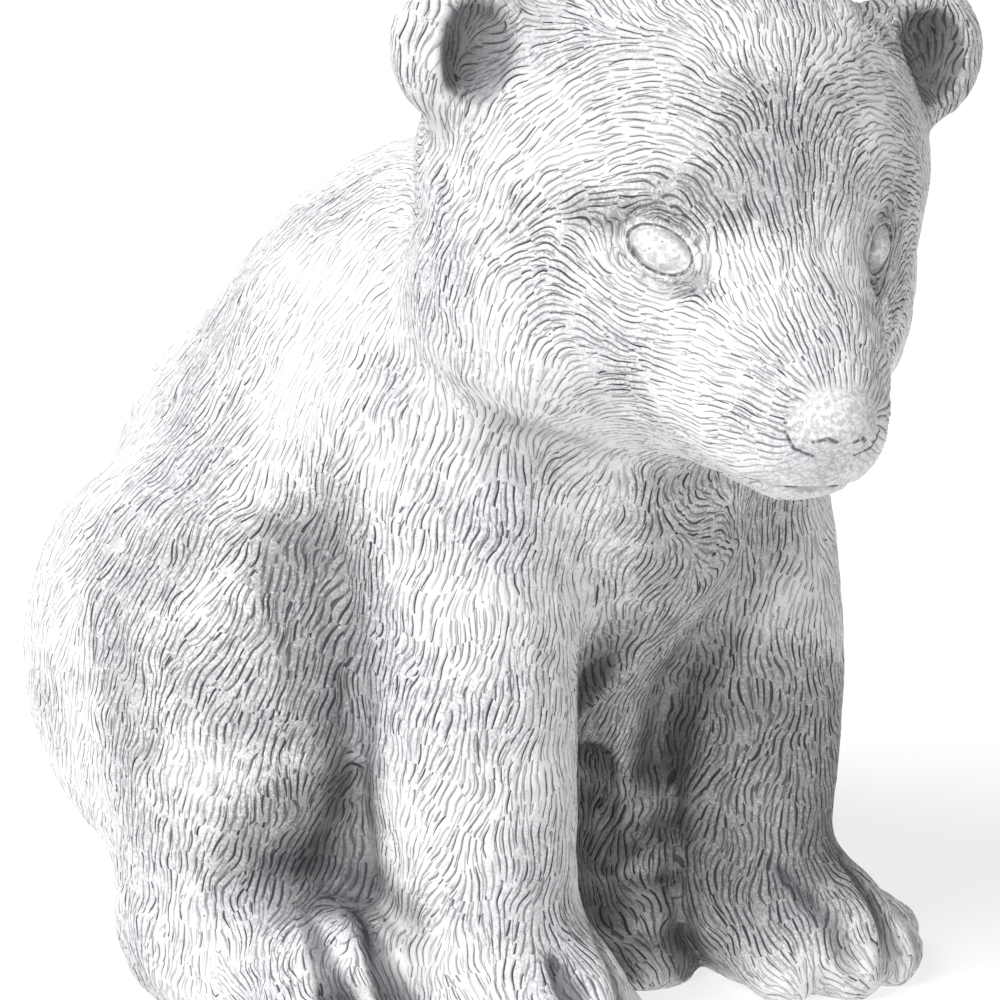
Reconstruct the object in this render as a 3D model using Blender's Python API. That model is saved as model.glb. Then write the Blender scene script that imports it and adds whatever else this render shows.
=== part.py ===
"""A seated bear cub cast in one piece, modelled as smoothly joined masses around named points.

The cub faces -Y, its left side is +X and it stands on z = 0. All positions and radii of the form
are shares of the figure's height, so HEIGHT alone sets the size. A mass is a distance function:
below zero inside, zero on the surface.
"""

import bmesh
import bpy
import numpy as np

HEIGHT = 0.35

CELL = 0.0085
BLOCK = 4
BLOCK_MARGIN = 1.8
SEARCH = 1.2
SEARCH_STEP = 0.06
MOST_TRIANGLES = 9600
SETTLE_STEPS = 3
MOST_SETTLE = 0.002
SLOPE_STEP = 0.0015
BASE_SNAP = 0.004
PINCH_PASSES = 4
PINCH_FILL = -0.001

GAP_TOP = 0.20
GAP_DEPTH = 0.015
GAP_WIDTH = 0.0125
GAP_FADE = 0.017

LOCK_WIDTH = 0.034
LOCK_LENGTH = 0.13
LOCK_DEPTH = 0.010
LOCK_TAPS = 5
LOCK_SEED = 11
NOISE_CELLS = 32

STONE_COLOUR = (0.78, 0.78, 0.79, 1.0)
STONE_ROUGHNESS = 0.9


def turned(yaw=0.0, pitch=0.0, roll=0.0):
    """Matrix that takes world offsets into a frame turned by these degrees about Z, X and Y."""
    a, b, c = np.radians([yaw, pitch, roll])
    about_z = np.array([[np.cos(a), -np.sin(a), 0], [np.sin(a), np.cos(a), 0], [0, 0, 1]])
    about_x = np.array([[1, 0, 0], [0, np.cos(b), -np.sin(b)], [0, np.sin(b), np.cos(b)]])
    about_y = np.array([[np.cos(c), 0, np.sin(c)], [0, 1, 0], [-np.sin(c), 0, np.cos(c)]])
    return (about_z @ about_x @ about_y).T


HEAD_AT = np.array([-0.01, -0.221, 0.729])
HEAD_FRAME = turned(yaw=-18.3, roll=3.95)
NOSE = (0.0, 0.302, -0.128)


def ball(points, centre, radii, frame=None):
    """Distance to an ellipsoid: k0 (k0 - 1) / k1, with k0 the scaled radius and k1 its slope."""
    offset = points - np.array(centre)
    if frame is not None:
        offset = offset @ frame.T
    radii = np.array(radii)
    scaled = np.sqrt(((offset / radii) ** 2).sum(1)) + 1e-9
    slope = np.sqrt(((offset / (radii * radii)) ** 2).sum(1)) + 1e-9
    return scaled * (scaled - 1.0) / slope


def limb(points, start, end, start_radius, end_radius):
    """Distance to a straight limb with round ends and a radius that changes evenly."""
    start = np.array(start)
    along = np.array(end) - start
    share = np.clip(((points - start) @ along) / (along @ along), 0, 1)
    offset = points - start - share[:, None] * along
    return np.sqrt((offset * offset).sum(1)) - (start_radius + (end_radius - start_radius) * share)


def tube(points, path, radii, squash=(1, 1, 1), segments=6):
    """Distance to a limb whose centre line and radius run as a parabola through three stations."""
    first, middle, last = (np.array(station, float) for station in path)
    handle = 2 * middle - (first + last) / 2
    radius_handle = 2 * radii[1] - (radii[0] + radii[2]) / 2
    step = 1 / segments
    best = np.full(len(points), np.inf)
    share = np.zeros(len(points))
    for index in range(segments):
        t0, t1 = index * step, (index + 1) * step
        a, b = ((1 - t) ** 2 * first + 2 * t * (1 - t) * handle + t * t * last for t in (t0, t1))
        along = b - a
        local = np.clip(((points - a) @ along) / (along @ along), 0, 1)
        gap = ((points - a - local[:, None] * along) ** 2).sum(1)
        nearer = gap < best
        best = np.where(nearer, gap, best)
        share = np.where(nearer, t0 + local * step, share)
    bend = 2 * (first - 2 * handle + last)
    for _ in range(2):
        t = share[:, None]
        offset = (1 - t) ** 2 * first + 2 * t * (1 - t) * handle + t * t * last - points
        run = 2 * (1 - t) * (handle - first) + 2 * t * (last - handle)
        turn = (run * run).sum(1) + (offset * bend).sum(1)
        share = np.clip(share - (offset * run).sum(1) / np.maximum(turn, 1e-6), 0, 1)
    t = share[:, None]
    centre = (1 - t) ** 2 * first + 2 * t * (1 - t) * handle + t * t * last
    radius = (1 - share) ** 2 * radii[0] + 2 * share * (1 - share) * radius_handle
    radius = radius + share * share * radii[2]
    return np.sqrt((((points - centre) * np.array(squash)) ** 2).sum(1)) - radius


def ring(points, centre, frame, radii, thickness):
    """Distance to an oval ring that lies in the frame's X-Z plane."""
    offset = (points - np.array(centre)) @ frame.T
    flat = offset[:, [0, 2]]
    scaled = np.sqrt(((flat / np.array(radii)) ** 2).sum(1)) + 1e-9
    across = (scaled - 1) * np.sqrt((flat**2).sum(1)) / scaled
    return np.sqrt(across**2 + offset[:, 1] ** 2) - thickness


def join(first, second, blend):
    """Union whose crease is filled over about the blend width."""
    mix = np.clip(0.5 + 0.5 * (second - first) / blend, 0, 1)
    return second * (1 - mix) + first * mix - blend * mix * (1 - mix)


def cut(body, tool, blend):
    """Body with the tool's volume taken out, the rim rounded over the blend width."""
    return -join(-body, tool, blend)


def groove(form, across, width, depth, mask):
    """Body with a crease pressed in: depth * exp(-(across / width)^2) where the mask is 1."""
    return form + depth * np.exp(-((across / width) ** 2)) * mask


def fade(value, start, end):
    """0 at start, 1 at end and even in between."""
    return np.clip((value - start) / (end - start), 0, 1)


def trunk(points):
    """Rump, back, chest, belly and neck."""
    form = ball(points, (0, 0.16, 0.22), (0.25, 0.27, 0.24))
    form = join(form, ball(points, (0, 0.13, 0.42), (0.272, 0.28, 0.22)), 0.09)
    form = join(form, ball(points, (0, 0.04, 0.57), (0.22, 0.21, 0.16), turned(pitch=25)), 0.09)
    form = join(form, ball(points, (0, 0.05, 0.20), (0.20, 0.13, 0.34)), 0.06)
    form = join(form, ball(points, (0, -0.045, 0.31), (0.13, 0.085, 0.10)), 0.04)
    form = cut(form, ball(points, (-0.02, -0.075, 0.10), (0.062, 0.085, 0.150)), 0.02)
    form = join(form, limb(points, (0, 0.0, 0.57), (-0.01, -0.16, 0.66), 0.18, 0.165), 0.08)
    form = join(form, ball(points, (0, -0.10, 0.50), (0.165, 0.14, 0.20)), 0.05)
    edge = tube(points, ((0.06, -0.205, 0.43), (-0.012, -0.172, 0.345), (-0.05, -0.115, 0.27)), (0.016, 0.022, 0.012))
    return join(form, edge, 0.012)


def foreleg(points, wrist, wrist_radius, paw_out):
    """Straight foreleg from shoulder to wrist, with a paw of four toes."""
    path = ((0.13, -0.05, 0.52), (0.162, -0.115, 0.32), wrist)
    form = tube(points, path, (0.12, 0.092, wrist_radius), (1, 0.87, 1))
    paw_x = wrist[0] + paw_out
    paw = ball(points, (paw_x - 0.01, -0.18, 0.05), (0.084, 0.11, 0.065))
    for out, tip in ((-0.063, -0.232), (-0.011, -0.262), (0.038, -0.258), (0.068, -0.222)):
        root = (paw_x - 0.01 + out * 0.9, -0.175, 0.052)
        paw = join(paw, limb(points, root, (paw_x + out * 1.05, tip, 0.029), 0.034, 0.033), 0.01)
    form = join(form, paw, 0.045)
    for low, high in ((-0.037, -0.058), (0.016, 0.010), (0.058, 0.062)):
        tip = (paw_x + low, -0.300, 0.015)
        bend = (paw_x + (low + high) / 2, -0.275, 0.076)
        form = toe_gap(form, points, tip, bend, (paw_x + high, -0.215, 0.116))
    return form


def toe_gap(form, points, tip, bend, end):
    """Presses in the valley between two toes, from under their tips over the bend and up the foot."""
    low = points[:, 2] < GAP_TOP
    near = points[low]
    across = np.minimum(limb(near, tip, bend, 0, 0), limb(near, bend, end, 0, -GAP_FADE))
    result = form.copy()
    result[low] = groove(form[low], across, GAP_WIDTH, GAP_DEPTH, 1)
    return result


def hind_leg(points, foot_x, foot_y):
    """Folded thigh, shank and a flat foot of four toes that reaches forward to foot_y."""
    form = ball(points, (0.232, 0.155, 0.29), (0.128, 0.202, 0.20))
    form = join(form, ball(points, (0.235, 0.05, 0.35), (0.095, 0.12, 0.115)), 0.06)
    form = join(form, limb(points, (0.25, 0.05, 0.28), (0.255, 0.10, 0.09), 0.10, 0.085), 0.06)
    roll = tube(points, ((0.262, 0.235, 0.440), (0.246, 0.112, 0.474), (0.218, -0.005, 0.470)), (0.012, 0.030, 0.020))
    form = join(form, roll, 0.014)
    foot = limb(points, (0.245, 0.13, 0.06), (foot_x, foot_y, 0.05), 0.08, 0.075)
    for out, ahead in ((-0.056, -0.08), (-0.019, -0.103), (0.02, -0.10), (0.056, -0.075)):
        root = (foot_x + out, foot_y + 0.01, 0.048)
        tip = (foot_x + 0.013 + out * 1.15, foot_y + ahead, 0.029)
        foot = join(foot, limb(points, root, tip, 0.036, 0.033), 0.01)
    form = join(form, foot, 0.04)
    for low, ahead, high, behind in (
        (-0.028, -0.050, -0.040, 0.010),
        (0.016, -0.055, -0.008, 0.012),
        (0.057, -0.022, 0.022, 0.044),
    ):
        tip = (foot_x + low, foot_y + ahead - 0.055, 0.015)
        bend = (foot_x + low, foot_y + ahead, 0.098)
        form = toe_gap(form, points, tip, bend, (foot_x + high, foot_y + behind, 0.130))
    return form


def folds(points):
    """Column of four soft fur folds between the forelegs, against the left one."""
    form = limb(points, (0.074, -0.090, 0.0), (0.085, -0.055, 0.17), 0.048, 0.042)
    for index in range(4):
        low = 0.018 + 0.05 * index
        centre = (0.070 + 0.004 * index, -0.100 + 0.008 * index, low)
        form = join(form, ball(points, centre, (0.052, 0.045, 0.026), turned(roll=-18)), 0.018)
    return form


def eye(head, points, mirror):
    """Cuts a shallow socket, then adds a smooth eyeball and a thin lid rim."""
    centre = np.array([mirror * 0.101, 0.170, -0.011])
    frame = turned(yaw=-mirror * 42, pitch=4, roll=-mirror * 21)
    outward = frame[1]
    head = cut(head, ball(points, centre + 0.005 * outward, (0.042, 0.013, 0.030), frame), 0.016)
    head = join(head, ring(points, centre - 0.004 * outward, frame, (0.0290, 0.0216), 0.0036), 0.006)
    globe = ball(points, centre - 0.018 * outward, (0.0300, 0.024, 0.0214), frame)
    return join(head, globe, 0.001)


def muzzle(head, points):
    """Adds the bridge, lips, chin and nose pad, then cuts the nostrils and presses in the mouth."""
    head = join(head, limb(points, (0, 0.04, -0.06), (0, 0.20, -0.112), 0.148, 0.078), 0.05)
    head = join(head, limb(points, (0, 0.08, -0.035), (0, 0.257, -0.120), 0.112, 0.051), 0.06)
    head = join(head, limb(points, (0, 0.07, -0.10), (0, 0.236, -0.161), 0.095, 0.037), 0.04)
    for mirror in (1, -1):
        lip = limb(points, (mirror * 0.035, 0.18, -0.110), (mirror * 0.022, 0.260, -0.146), 0.06, 0.034)
        head = join(head, lip, 0.03)
    head = join(head, ball(points, NOSE, (0.033, 0.024, 0.025), turned(pitch=12)), 0.008)
    for mirror in (1, -1):
        slit = limb(points, (mirror * 0.011, 0.327, -0.147), (mirror * 0.025, 0.317, -0.142), 0.0045, 0.003)
        head = cut(head, slit, 0.003)
        corner = (mirror * 0.042, 0.302, -0.142)
        fold = (mirror * 0.021, 0.311, -0.160)
        head = cut(head, limb(points, corner, fold, 0.0015, 0.004), 0.003)
        head = cut(head, limb(points, fold, (0, 0.316, -0.163), 0.004, 0.003), 0.003)
    lateral, forward, up = points.T
    front = fade(forward, 0.225, 0.275)
    head = groove(head, up + 0.187 + 0.05 * (forward - 0.30), 0.0028, 0.004, front)
    below = fade(up, -0.184, -0.178) * fade(up, -0.140, -0.148)
    return groove(head, lateral, 0.003, 0.0025, below * fade(forward, 0.28, 0.29))


def head(points):
    """Skull, cheeks, ears, eyes and muzzle in a frame of lateral, forward and up."""
    local = (points - HEAD_AT) @ HEAD_FRAME.T * np.array([1, -1, 1])
    form = ball(local, (0, -0.02, 0.03), (0.226, 0.18, 0.19))
    form = join(form, ball(local, (0, 0.075, 0.015), (0.142, 0.125, 0.125)), 0.06)
    for mirror in (1, -1):
        cheek = ball(local, (mirror * 0.11, 0.01, -0.09), (0.09, 0.12, 0.09))
        form = join(form, cheek, 0.05)
    form = join(form, ball(local, (-0.135, -0.03, -0.09), (0.087, 0.10, 0.085)), 0.05)
    form = muzzle(form, local)
    for mirror in (1, -1):
        ear = ball(local, (mirror * 0.214, 0.0, 0.132), (0.060, 0.038, 0.064))
        hollow = ball(local, (mirror * 0.204, 0.036, 0.126), (0.034, 0.034, 0.046), turned(roll=mirror * 14))
        form = join(form, cut(ear, hollow, 0.014), 0.03)
        form = eye(form, local, mirror)
    return form


def smooth_form(points):
    """The whole cub without its fur, cut flat at z = 0."""
    form = trunk(points)
    left = points
    right = points * np.array([-1, 1, 1])
    for side, wrist, radius, paw_out, foot in (
        (left, (0.150, -0.135, 0.10), 0.070, 0.03, (0.240, 0.035)),
        (right, (0.160, -0.135, 0.10), 0.078, 0.005, (0.257, -0.08)),
    ):
        form = join(form, foreleg(side, wrist, radius, paw_out), 0.03)
        form = join(form, hind_leg(side, *foot), 0.025)
        form = join(form, ball(side, (0.19, 0.01, 0.20), (0.055, 0.09, 0.21)), 0.02)
    form = join(form, folds(points), 0.012)
    form = join(form, head(points), 0.03)
    return np.maximum(form, -points[:, 2])


def nearness(points, centre, radii):
    """Weight of 1 inside an ellipsoid that fades to 0 at twice its size."""
    offset = (points - np.array(centre)) / np.array(radii)
    return np.clip(2 - np.sqrt((offset**2).sum(1)), 0, 1)[:, None]


def fur_way(points):
    """Direction in which the fur lies: down the body, back from the nose, forward on the paws."""
    way = np.array([0, 0.25, -1.0]) + points * np.array([0.6, 0, 0])
    on_head = nearness(points, HEAD_AT, (0.17, 0.17, 0.15))
    nose = HEAD_AT + (np.array(NOSE) * np.array([1, -1, 1])) @ HEAD_FRAME
    from_nose = points - nose
    from_nose = from_nose / (np.sqrt((from_nose**2).sum(1)) + 1e-6)[:, None]
    way = way * (1 - on_head) + from_nose * on_head
    low = np.clip((0.13 - points[:, 2]) / 0.06, 0, 1)[:, None]
    low = low * (points[:, 1] < 0.02)[:, None]
    way = way * (1 - low) + np.array([0, -1, -0.35]) * low
    return way / np.sqrt((way**2).sum(1))[:, None]


def noise(points, table):
    """Value noise: random lattice values joined by a smooth curve 3t^2 - 2t^3 along each axis."""
    base = np.floor(points).astype(int)
    part = points - base
    part = part * part * (3 - 2 * part)
    total = np.zeros(len(points))
    for corner in np.ndindex(2, 2, 2):
        cell = (base + corner) % NOISE_CELLS
        weight = np.prod(np.where(np.array(corner) == 1, part, 1 - part), axis=1)
        total += weight * table[cell[:, 0], cell[:, 1], cell[:, 2]]
    return total


def locks(points):
    """Relief of the fur locks: noise averaged along the way the fur lies, none on the smooth parts."""
    table = np.random.default_rng(LOCK_SEED).uniform(-1, 1, (NOISE_CELLS,) * 3)
    way = fur_way(points)
    total = np.zeros(len(points))
    for share in np.linspace(-0.5, 0.5, LOCK_TAPS):
        total += noise((points + way * share * LOCK_LENGTH) / LOCK_WIDTH, table)
    face = HEAD_AT + (np.array([0, 0.20, -0.06]) * np.array([1, -1, 1])) @ HEAD_FRAME
    bare = nearness(points, face, (0.14, 0.14, 0.11))[:, 0]
    bare = np.maximum(bare, np.clip((0.12 - points[:, 2]) / 0.05, 0, 1))
    return LOCK_DEPTH * total / LOCK_TAPS * (1 - bare)


def furred_form(points):
    """The cub with its fur locks raised and its underside kept flat."""
    return np.maximum(smooth_form(points) - locks(points), -points[:, 2])


def lattice(low, counts, step):
    """Points of a regular grid as rows, the last axis running fastest."""
    return np.array(low) + np.stack(np.indices(counts), axis=-1).reshape(-1, 3) * step


def reach(form):
    """Lowest and highest corner of a box that holds the form with room to spare."""
    counts = (int(2 * SEARCH / SEARCH_STEP) + 1,) * 3
    points = lattice((-SEARCH,) * 3, counts, SEARCH_STEP)
    points = points[points[:, 2] > -SEARCH_STEP]
    near = points[form(points) < SEARCH_STEP]
    return near.min(0) - SEARCH_STEP, near.max(0) + SEARCH_STEP


def sampled_field(form, cell):
    """Distances on a grid around the form, exact near its surface and one value a block elsewhere."""
    low, high = reach(form)
    block = BLOCK * cell
    counts = np.ceil((high - low) / block).astype(int)
    rough = form(lattice(low + block / 2, counts, block)).reshape(counts)
    near = np.abs(rough) < BLOCK_MARGIN * block
    field, needed = (
        np.pad(values.repeat(BLOCK, 0).repeat(BLOCK, 1).repeat(BLOCK, 2), (0, 1), mode="edge")
        for values in (rough, near)
    )
    for axis in range(3):
        shifted = np.roll(needed, 1, axis)
        needed = needed | shifted
    field[needed] = form(low + np.argwhere(needed) * cell)
    return low, field


def fill_pinches(field):
    """Fills each grid square whose inside corners touch only across a diagonal.

    The walls of the mesh then never meet along a line.
    """
    for _ in range(PINCH_PASSES):
        for axis in range(3):
            a, b = [index for index in range(3) if index != axis]
            views = []
            for shift_a, shift_b in ((0, 0), (1, 1), (1, 0), (0, 1)):
                part = [slice(None)] * 3
                part[a] = slice(shift_a, field.shape[a] - 1 + shift_a)
                part[b] = slice(shift_b, field.shape[b] - 1 + shift_b)
                views.append(field[tuple(part)])
            inside = [view < 0 for view in views]
            pinched = (inside[0] == inside[1]) & (inside[2] == inside[3]) & (inside[0] != inside[2])
            for view in views:
                view[pinched] = np.minimum(view[pinched], PINCH_FILL)
    return field


def surface_net(field, origin, step):
    """Quads around each grid edge that crosses zero, with one vertex in each cell they meet."""
    inside = field < 0
    shape = np.array(field.shape)
    total = np.zeros(tuple(shape - 1) + (3,))
    count = np.zeros(tuple(shape - 1))
    for axis in range(3):
        other = [index for index in range(3) if index != axis]
        low = [slice(None)] * 3
        high = [slice(None)] * 3
        low[axis], high[axis] = slice(0, -1), slice(1, None)
        crossing = inside[tuple(low)] != inside[tuple(high)]
        gap = field[tuple(high)] - field[tuple(low)]
        share = np.where(crossing, -field[tuple(low)] / np.where(crossing, gap, 1), 0)
        for shift in np.ndindex(2, 2):
            cells = [slice(None)] * 3
            for index, moved in zip(other, shift):
                cells[index] = slice(moved, shape[index] - 1 + moved)
            cells = tuple(cells)
            hit = crossing[cells]
            count += hit
            total[..., axis] += share[cells] * hit
            for index, moved in zip(other, shift):
                total[..., index] += moved * hit
    used = count > 0
    number = np.full(count.shape, -1)
    number[used] = np.arange(used.sum())
    vertices = np.argwhere(used) + total[used] / count[used][:, None]
    quads = []
    for axis in range(3):
        a, b = (axis + 1) % 3, (axis + 2) % 3
        low = [slice(1, -1)] * 3
        high = [slice(1, -1)] * 3
        low[axis], high[axis] = slice(0, -1), slice(1, None)
        starts = inside[tuple(low)]
        at = np.argwhere(starts != inside[tuple(high)])
        leaving = starts[tuple(at.T)]
        at[:, [a, b]] += 1
        ring_cells = []
        for back_a, back_b in ((1, 1), (0, 1), (0, 0), (1, 0)):
            cell = at.copy()
            cell[:, a] -= back_a
            cell[:, b] -= back_b
            ring_cells.append(number[tuple(cell.T)])
        quad = np.stack(ring_cells, axis=1)
        quad[~leaving] = quad[~leaving][:, ::-1]
        quads.append(quad)
    return np.array(origin) + vertices * step, np.concatenate(quads)


def slope(form, points):
    """Unit direction in which the form's distance grows, from four samples around each point."""
    corners = np.array([[1, -1, -1], [-1, -1, 1], [-1, 1, -1], [1, 1, 1]])
    way = sum(form(points + SLOPE_STEP * corner)[:, None] * corner for corner in corners)
    return way / (np.sqrt((way**2).sum(1)) + 1e-9)[:, None]


def cub_surface():
    """Vertices and quads of the cub in shares of its height, settled on its surface."""
    low, field = sampled_field(furred_form, CELL)
    vertices, quads = surface_net(fill_pinches(field), low, CELL)
    for _ in range(SETTLE_STEPS):
        move = np.clip(furred_form(vertices), -MOST_SETTLE, MOST_SETTLE)
        vertices = vertices - slope(furred_form, vertices) * move[:, None]
    vertices[vertices[:, 2] < BASE_SNAP, 2] = 0
    return vertices, quads


def triangle_mesh(name, vertices, quads):
    """Mesh data-block of the quads split into triangles."""
    mesh = bpy.data.meshes.new(name)
    mesh.from_pydata(vertices.tolist(), [], quads.tolist())
    build = bmesh.new()
    build.from_mesh(mesh)
    bmesh.ops.triangulate(build, faces=build.faces[:])
    build.to_mesh(mesh)
    build.free()
    return mesh


def thinned(mesh):
    """Copy of the mesh, collapsed to at most MOST_TRIANGLES where the form is plainest."""
    helper = bpy.data.objects.new("helper", mesh)
    bpy.context.scene.collection.objects.link(helper)
    thin = helper.modifiers.new("thin", "DECIMATE")
    thin.ratio = MOST_TRIANGLES / len(mesh.polygons)
    graph = bpy.context.evaluated_depsgraph_get()
    result = bpy.data.meshes.new_from_object(helper.evaluated_get(graph))
    bpy.data.objects.remove(helper)
    return result


def seat(mesh):
    """Flattens the underside on z = 0, centres the mesh on the origin and scales it to HEIGHT."""
    points = np.empty(len(mesh.vertices) * 3)
    mesh.vertices.foreach_get("co", points)
    points = points.reshape(-1, 3)
    points[points[:, 2] < BASE_SNAP / 2, 2] = 0
    middle = (points.min(0) + points.max(0)) / 2
    points = (points - np.array([middle[0], middle[1], 0])) * HEIGHT / points[:, 2].max()
    mesh.vertices.foreach_set("co", points.ravel())
    mesh.update()


def stone():
    """Pale cast stone."""
    material = bpy.data.materials.new("cast_stone")
    material.use_nodes = True
    shader = material.node_tree.nodes["Principled BSDF"]
    shader.inputs["Base Color"].default_value = STONE_COLOUR
    shader.inputs["Roughness"].default_value = STONE_ROUGHNESS
    return material


def main():
    for item in list(bpy.data.objects):
        bpy.data.objects.remove(item)
    mesh = thinned(triangle_mesh("fine", *cub_surface()))
    seat(mesh)
    mesh.name = "bear_cub"
    mesh.shade_smooth()
    mesh.materials.append(stone())
    bpy.context.scene.collection.objects.link(bpy.data.objects.new("bear_cub", mesh))


if __name__ == "__main__":
    main()
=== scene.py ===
"""Dresses the seated bear cub: fine carved fur, white-washed cast stone, a plain studio and a camera.

The cub's form is a set of smoothly joined masses. Every mass is a distance function over an array of
points, below zero inside, and all its sizes are shares of the figure's height. The fur is an array
function too: patches of side-by-side strokes along the way the hair lies, pressed into a dense mesh
and repeated in the stone's material, so that relief and colour fall on the same strokes.
"""

import itertools
import logging
import math
from dataclasses import dataclass
from enum import Enum
from typing import Callable, Optional, Sequence

import bpy
import numpy as np
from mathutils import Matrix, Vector


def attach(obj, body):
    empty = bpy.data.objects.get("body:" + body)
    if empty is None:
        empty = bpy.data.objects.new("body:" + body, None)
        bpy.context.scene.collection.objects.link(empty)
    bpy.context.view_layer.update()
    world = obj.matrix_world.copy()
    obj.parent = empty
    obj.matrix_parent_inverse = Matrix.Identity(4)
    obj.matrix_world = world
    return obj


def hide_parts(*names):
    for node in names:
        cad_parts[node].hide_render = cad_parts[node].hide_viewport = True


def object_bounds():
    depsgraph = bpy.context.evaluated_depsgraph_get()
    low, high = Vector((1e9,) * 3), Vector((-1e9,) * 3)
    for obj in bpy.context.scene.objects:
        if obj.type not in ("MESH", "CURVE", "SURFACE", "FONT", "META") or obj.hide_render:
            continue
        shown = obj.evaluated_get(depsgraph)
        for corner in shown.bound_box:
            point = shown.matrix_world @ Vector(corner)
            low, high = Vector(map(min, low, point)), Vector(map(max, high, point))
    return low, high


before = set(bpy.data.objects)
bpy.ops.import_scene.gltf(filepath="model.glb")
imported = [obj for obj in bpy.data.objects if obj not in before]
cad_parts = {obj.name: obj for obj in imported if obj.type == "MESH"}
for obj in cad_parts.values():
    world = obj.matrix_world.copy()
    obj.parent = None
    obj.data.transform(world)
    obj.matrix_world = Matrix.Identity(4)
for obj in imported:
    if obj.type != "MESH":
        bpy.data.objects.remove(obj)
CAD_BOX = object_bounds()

log = logging.getLogger("bear_cub")

Array = np.ndarray
Form = Callable[[Array], Array]

# Metres in one share of height, for a tolerance on the finished mesh.
UNIT = 0.3696
# Valleys between the toes, in shares of height: where they end, their depth, width and fade.
GAP_TOP = 0.20
GAP_DEPTH = 0.015
GAP_WIDTH = 0.0125
GAP_FADE = 0.017


def turned(yaw: float = 0.0, pitch: float = 0.0, roll: float = 0.0) -> Array:
    """Matrix that takes offsets into a frame turned about Z, X and Y.

    Args:
        yaw: turn about Z in degrees.
        pitch: turn about X in degrees.
        roll: turn about Y in degrees.

    Returns:
        The 3 x 3 matrix, the transpose of Rz Rx Ry.
    """
    a, b, c = np.radians([yaw, pitch, roll])
    about_z = np.array([[np.cos(a), -np.sin(a), 0], [np.sin(a), np.cos(a), 0], [0, 0, 1]])
    about_x = np.array([[1, 0, 0], [0, np.cos(b), -np.sin(b)], [0, np.sin(b), np.cos(b)]])
    about_y = np.array([[np.cos(c), 0, np.sin(c)], [0, 1, 0], [-np.sin(c), 0, np.cos(c)]])
    return (about_z @ about_x @ about_y).T


def length_of(vectors: Array) -> Array:
    """Length of each row."""
    return np.sqrt(np.einsum("ij,ij->i", vectors, vectors))


def unit(vectors: Array) -> Array:
    """Each row scaled to length 1."""
    return vectors / (length_of(vectors) + 1e-12)[:, None]


def fade(value: Array, start: float, end: float) -> Array:
    """0 at start, 1 at end and even in between."""
    return np.clip((value - start) / (end - start), 0, 1)


def ball(
    points: Array, centre: Sequence[float], radii: Sequence[float], turn: Optional[Array] = None
) -> Array:
    """Distance to an ellipsoid: k0 (k0 - 1) / k1, with k0 the scaled radius and k1 its slope.

    Args:
        points: rows of points.
        centre: the ellipsoid's centre.
        radii: its three radii.
        turn: matrix into its own axes, or None.

    Returns:
        The distance of each point.
    """
    offset = points - np.array(centre)
    if turn is not None:
        offset = offset @ turn.T
    scaled = offset / np.array(radii)
    k0 = length_of(scaled) + 1e-9
    return k0 * (k0 - 1.0) / (length_of(scaled / np.array(radii)) + 1e-9)


def limb(points: Array, start: Sequence[float], end: Sequence[float], first: float, last: float) -> Array:
    """Distance to a straight limb with round ends, whose radius runs evenly from first to last."""
    begin = np.array(start)
    along = np.array(end) - begin
    share = np.clip(((points - begin) @ along) / (along @ along), 0, 1)
    return length_of(points - begin - share[:, None] * along) - (first + (last - first) * share)


def tube(
    points: Array,
    path: Sequence[Sequence[float]],
    radii: Sequence[float],
    squash: Sequence[float] = (1, 1, 1),
    segments: int = 6,
) -> Array:
    """Distance to a limb whose centre line and radius run as a parabola through three stations.

    The nearest place t is first read from straight segments and then brought onto the curve c(t) by
    two steps of t - (c - p).c' / (c'.c' + (c - p).c'').

    Args:
        points: rows of points.
        path: first, middle and last station.
        radii: the radius at each.
        squash: factor on each axis before the length is taken.
        segments: straight pieces of the first guess.

    Returns:
        The distance of each point.
    """
    first, middle, last = (np.array(station, float) for station in path)
    handle = 2 * middle - (first + last) / 2
    radius_handle = 2 * radii[1] - (radii[0] + radii[2]) / 2
    step = 1 / segments
    best = np.full(len(points), np.inf)
    share = np.zeros(len(points))
    for index in range(segments):
        t0, t1 = index * step, (index + 1) * step
        a, b = ((1 - t) ** 2 * first + 2 * t * (1 - t) * handle + t * t * last for t in (t0, t1))
        along = b - a
        local = np.clip(((points - a) @ along) / (along @ along), 0, 1)
        gap = ((points - a - local[:, None] * along) ** 2).sum(1)
        nearer = gap < best
        best = np.where(nearer, gap, best)
        share = np.where(nearer, t0 + local * step, share)
    bend = 2 * (first - 2 * handle + last)
    for _ in range(2):
        t = share[:, None]
        offset = (1 - t) ** 2 * first + 2 * t * (1 - t) * handle + t * t * last - points
        run = 2 * (1 - t) * (handle - first) + 2 * t * (last - handle)
        turn = (run * run).sum(1) + (offset * bend).sum(1)
        share = np.clip(share - (offset * run).sum(1) / np.maximum(turn, 1e-6), 0, 1)
    t = share[:, None]
    centre = (1 - t) ** 2 * first + 2 * t * (1 - t) * handle + t * t * last
    radius = (1 - share) ** 2 * radii[0] + 2 * share * (1 - share) * radius_handle
    radius = radius + share * share * radii[2]
    return length_of((points - centre) * np.array(squash)) - radius


def ring(points: Array, centre: Array, turn: Array, radii: Sequence[float], thickness: float) -> Array:
    """Distance to an oval ring that lies in the turned frame's X-Z plane."""
    offset = (points - centre) @ turn.T
    flat = offset[:, [0, 2]]
    scaled = length_of(flat / np.array(radii)) + 1e-9
    across = (scaled - 1) * length_of(flat) / scaled
    return np.sqrt(across**2 + offset[:, 1] ** 2) - thickness


def join(first: Array, second: Array, blend: float) -> Array:
    """Union whose crease is filled over about the blend width: the mix less blend m (1 - m)."""
    mix = np.clip(0.5 + 0.5 * (second - first) / blend, 0, 1)
    return second * (1 - mix) + first * mix - blend * mix * (1 - mix)


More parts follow.
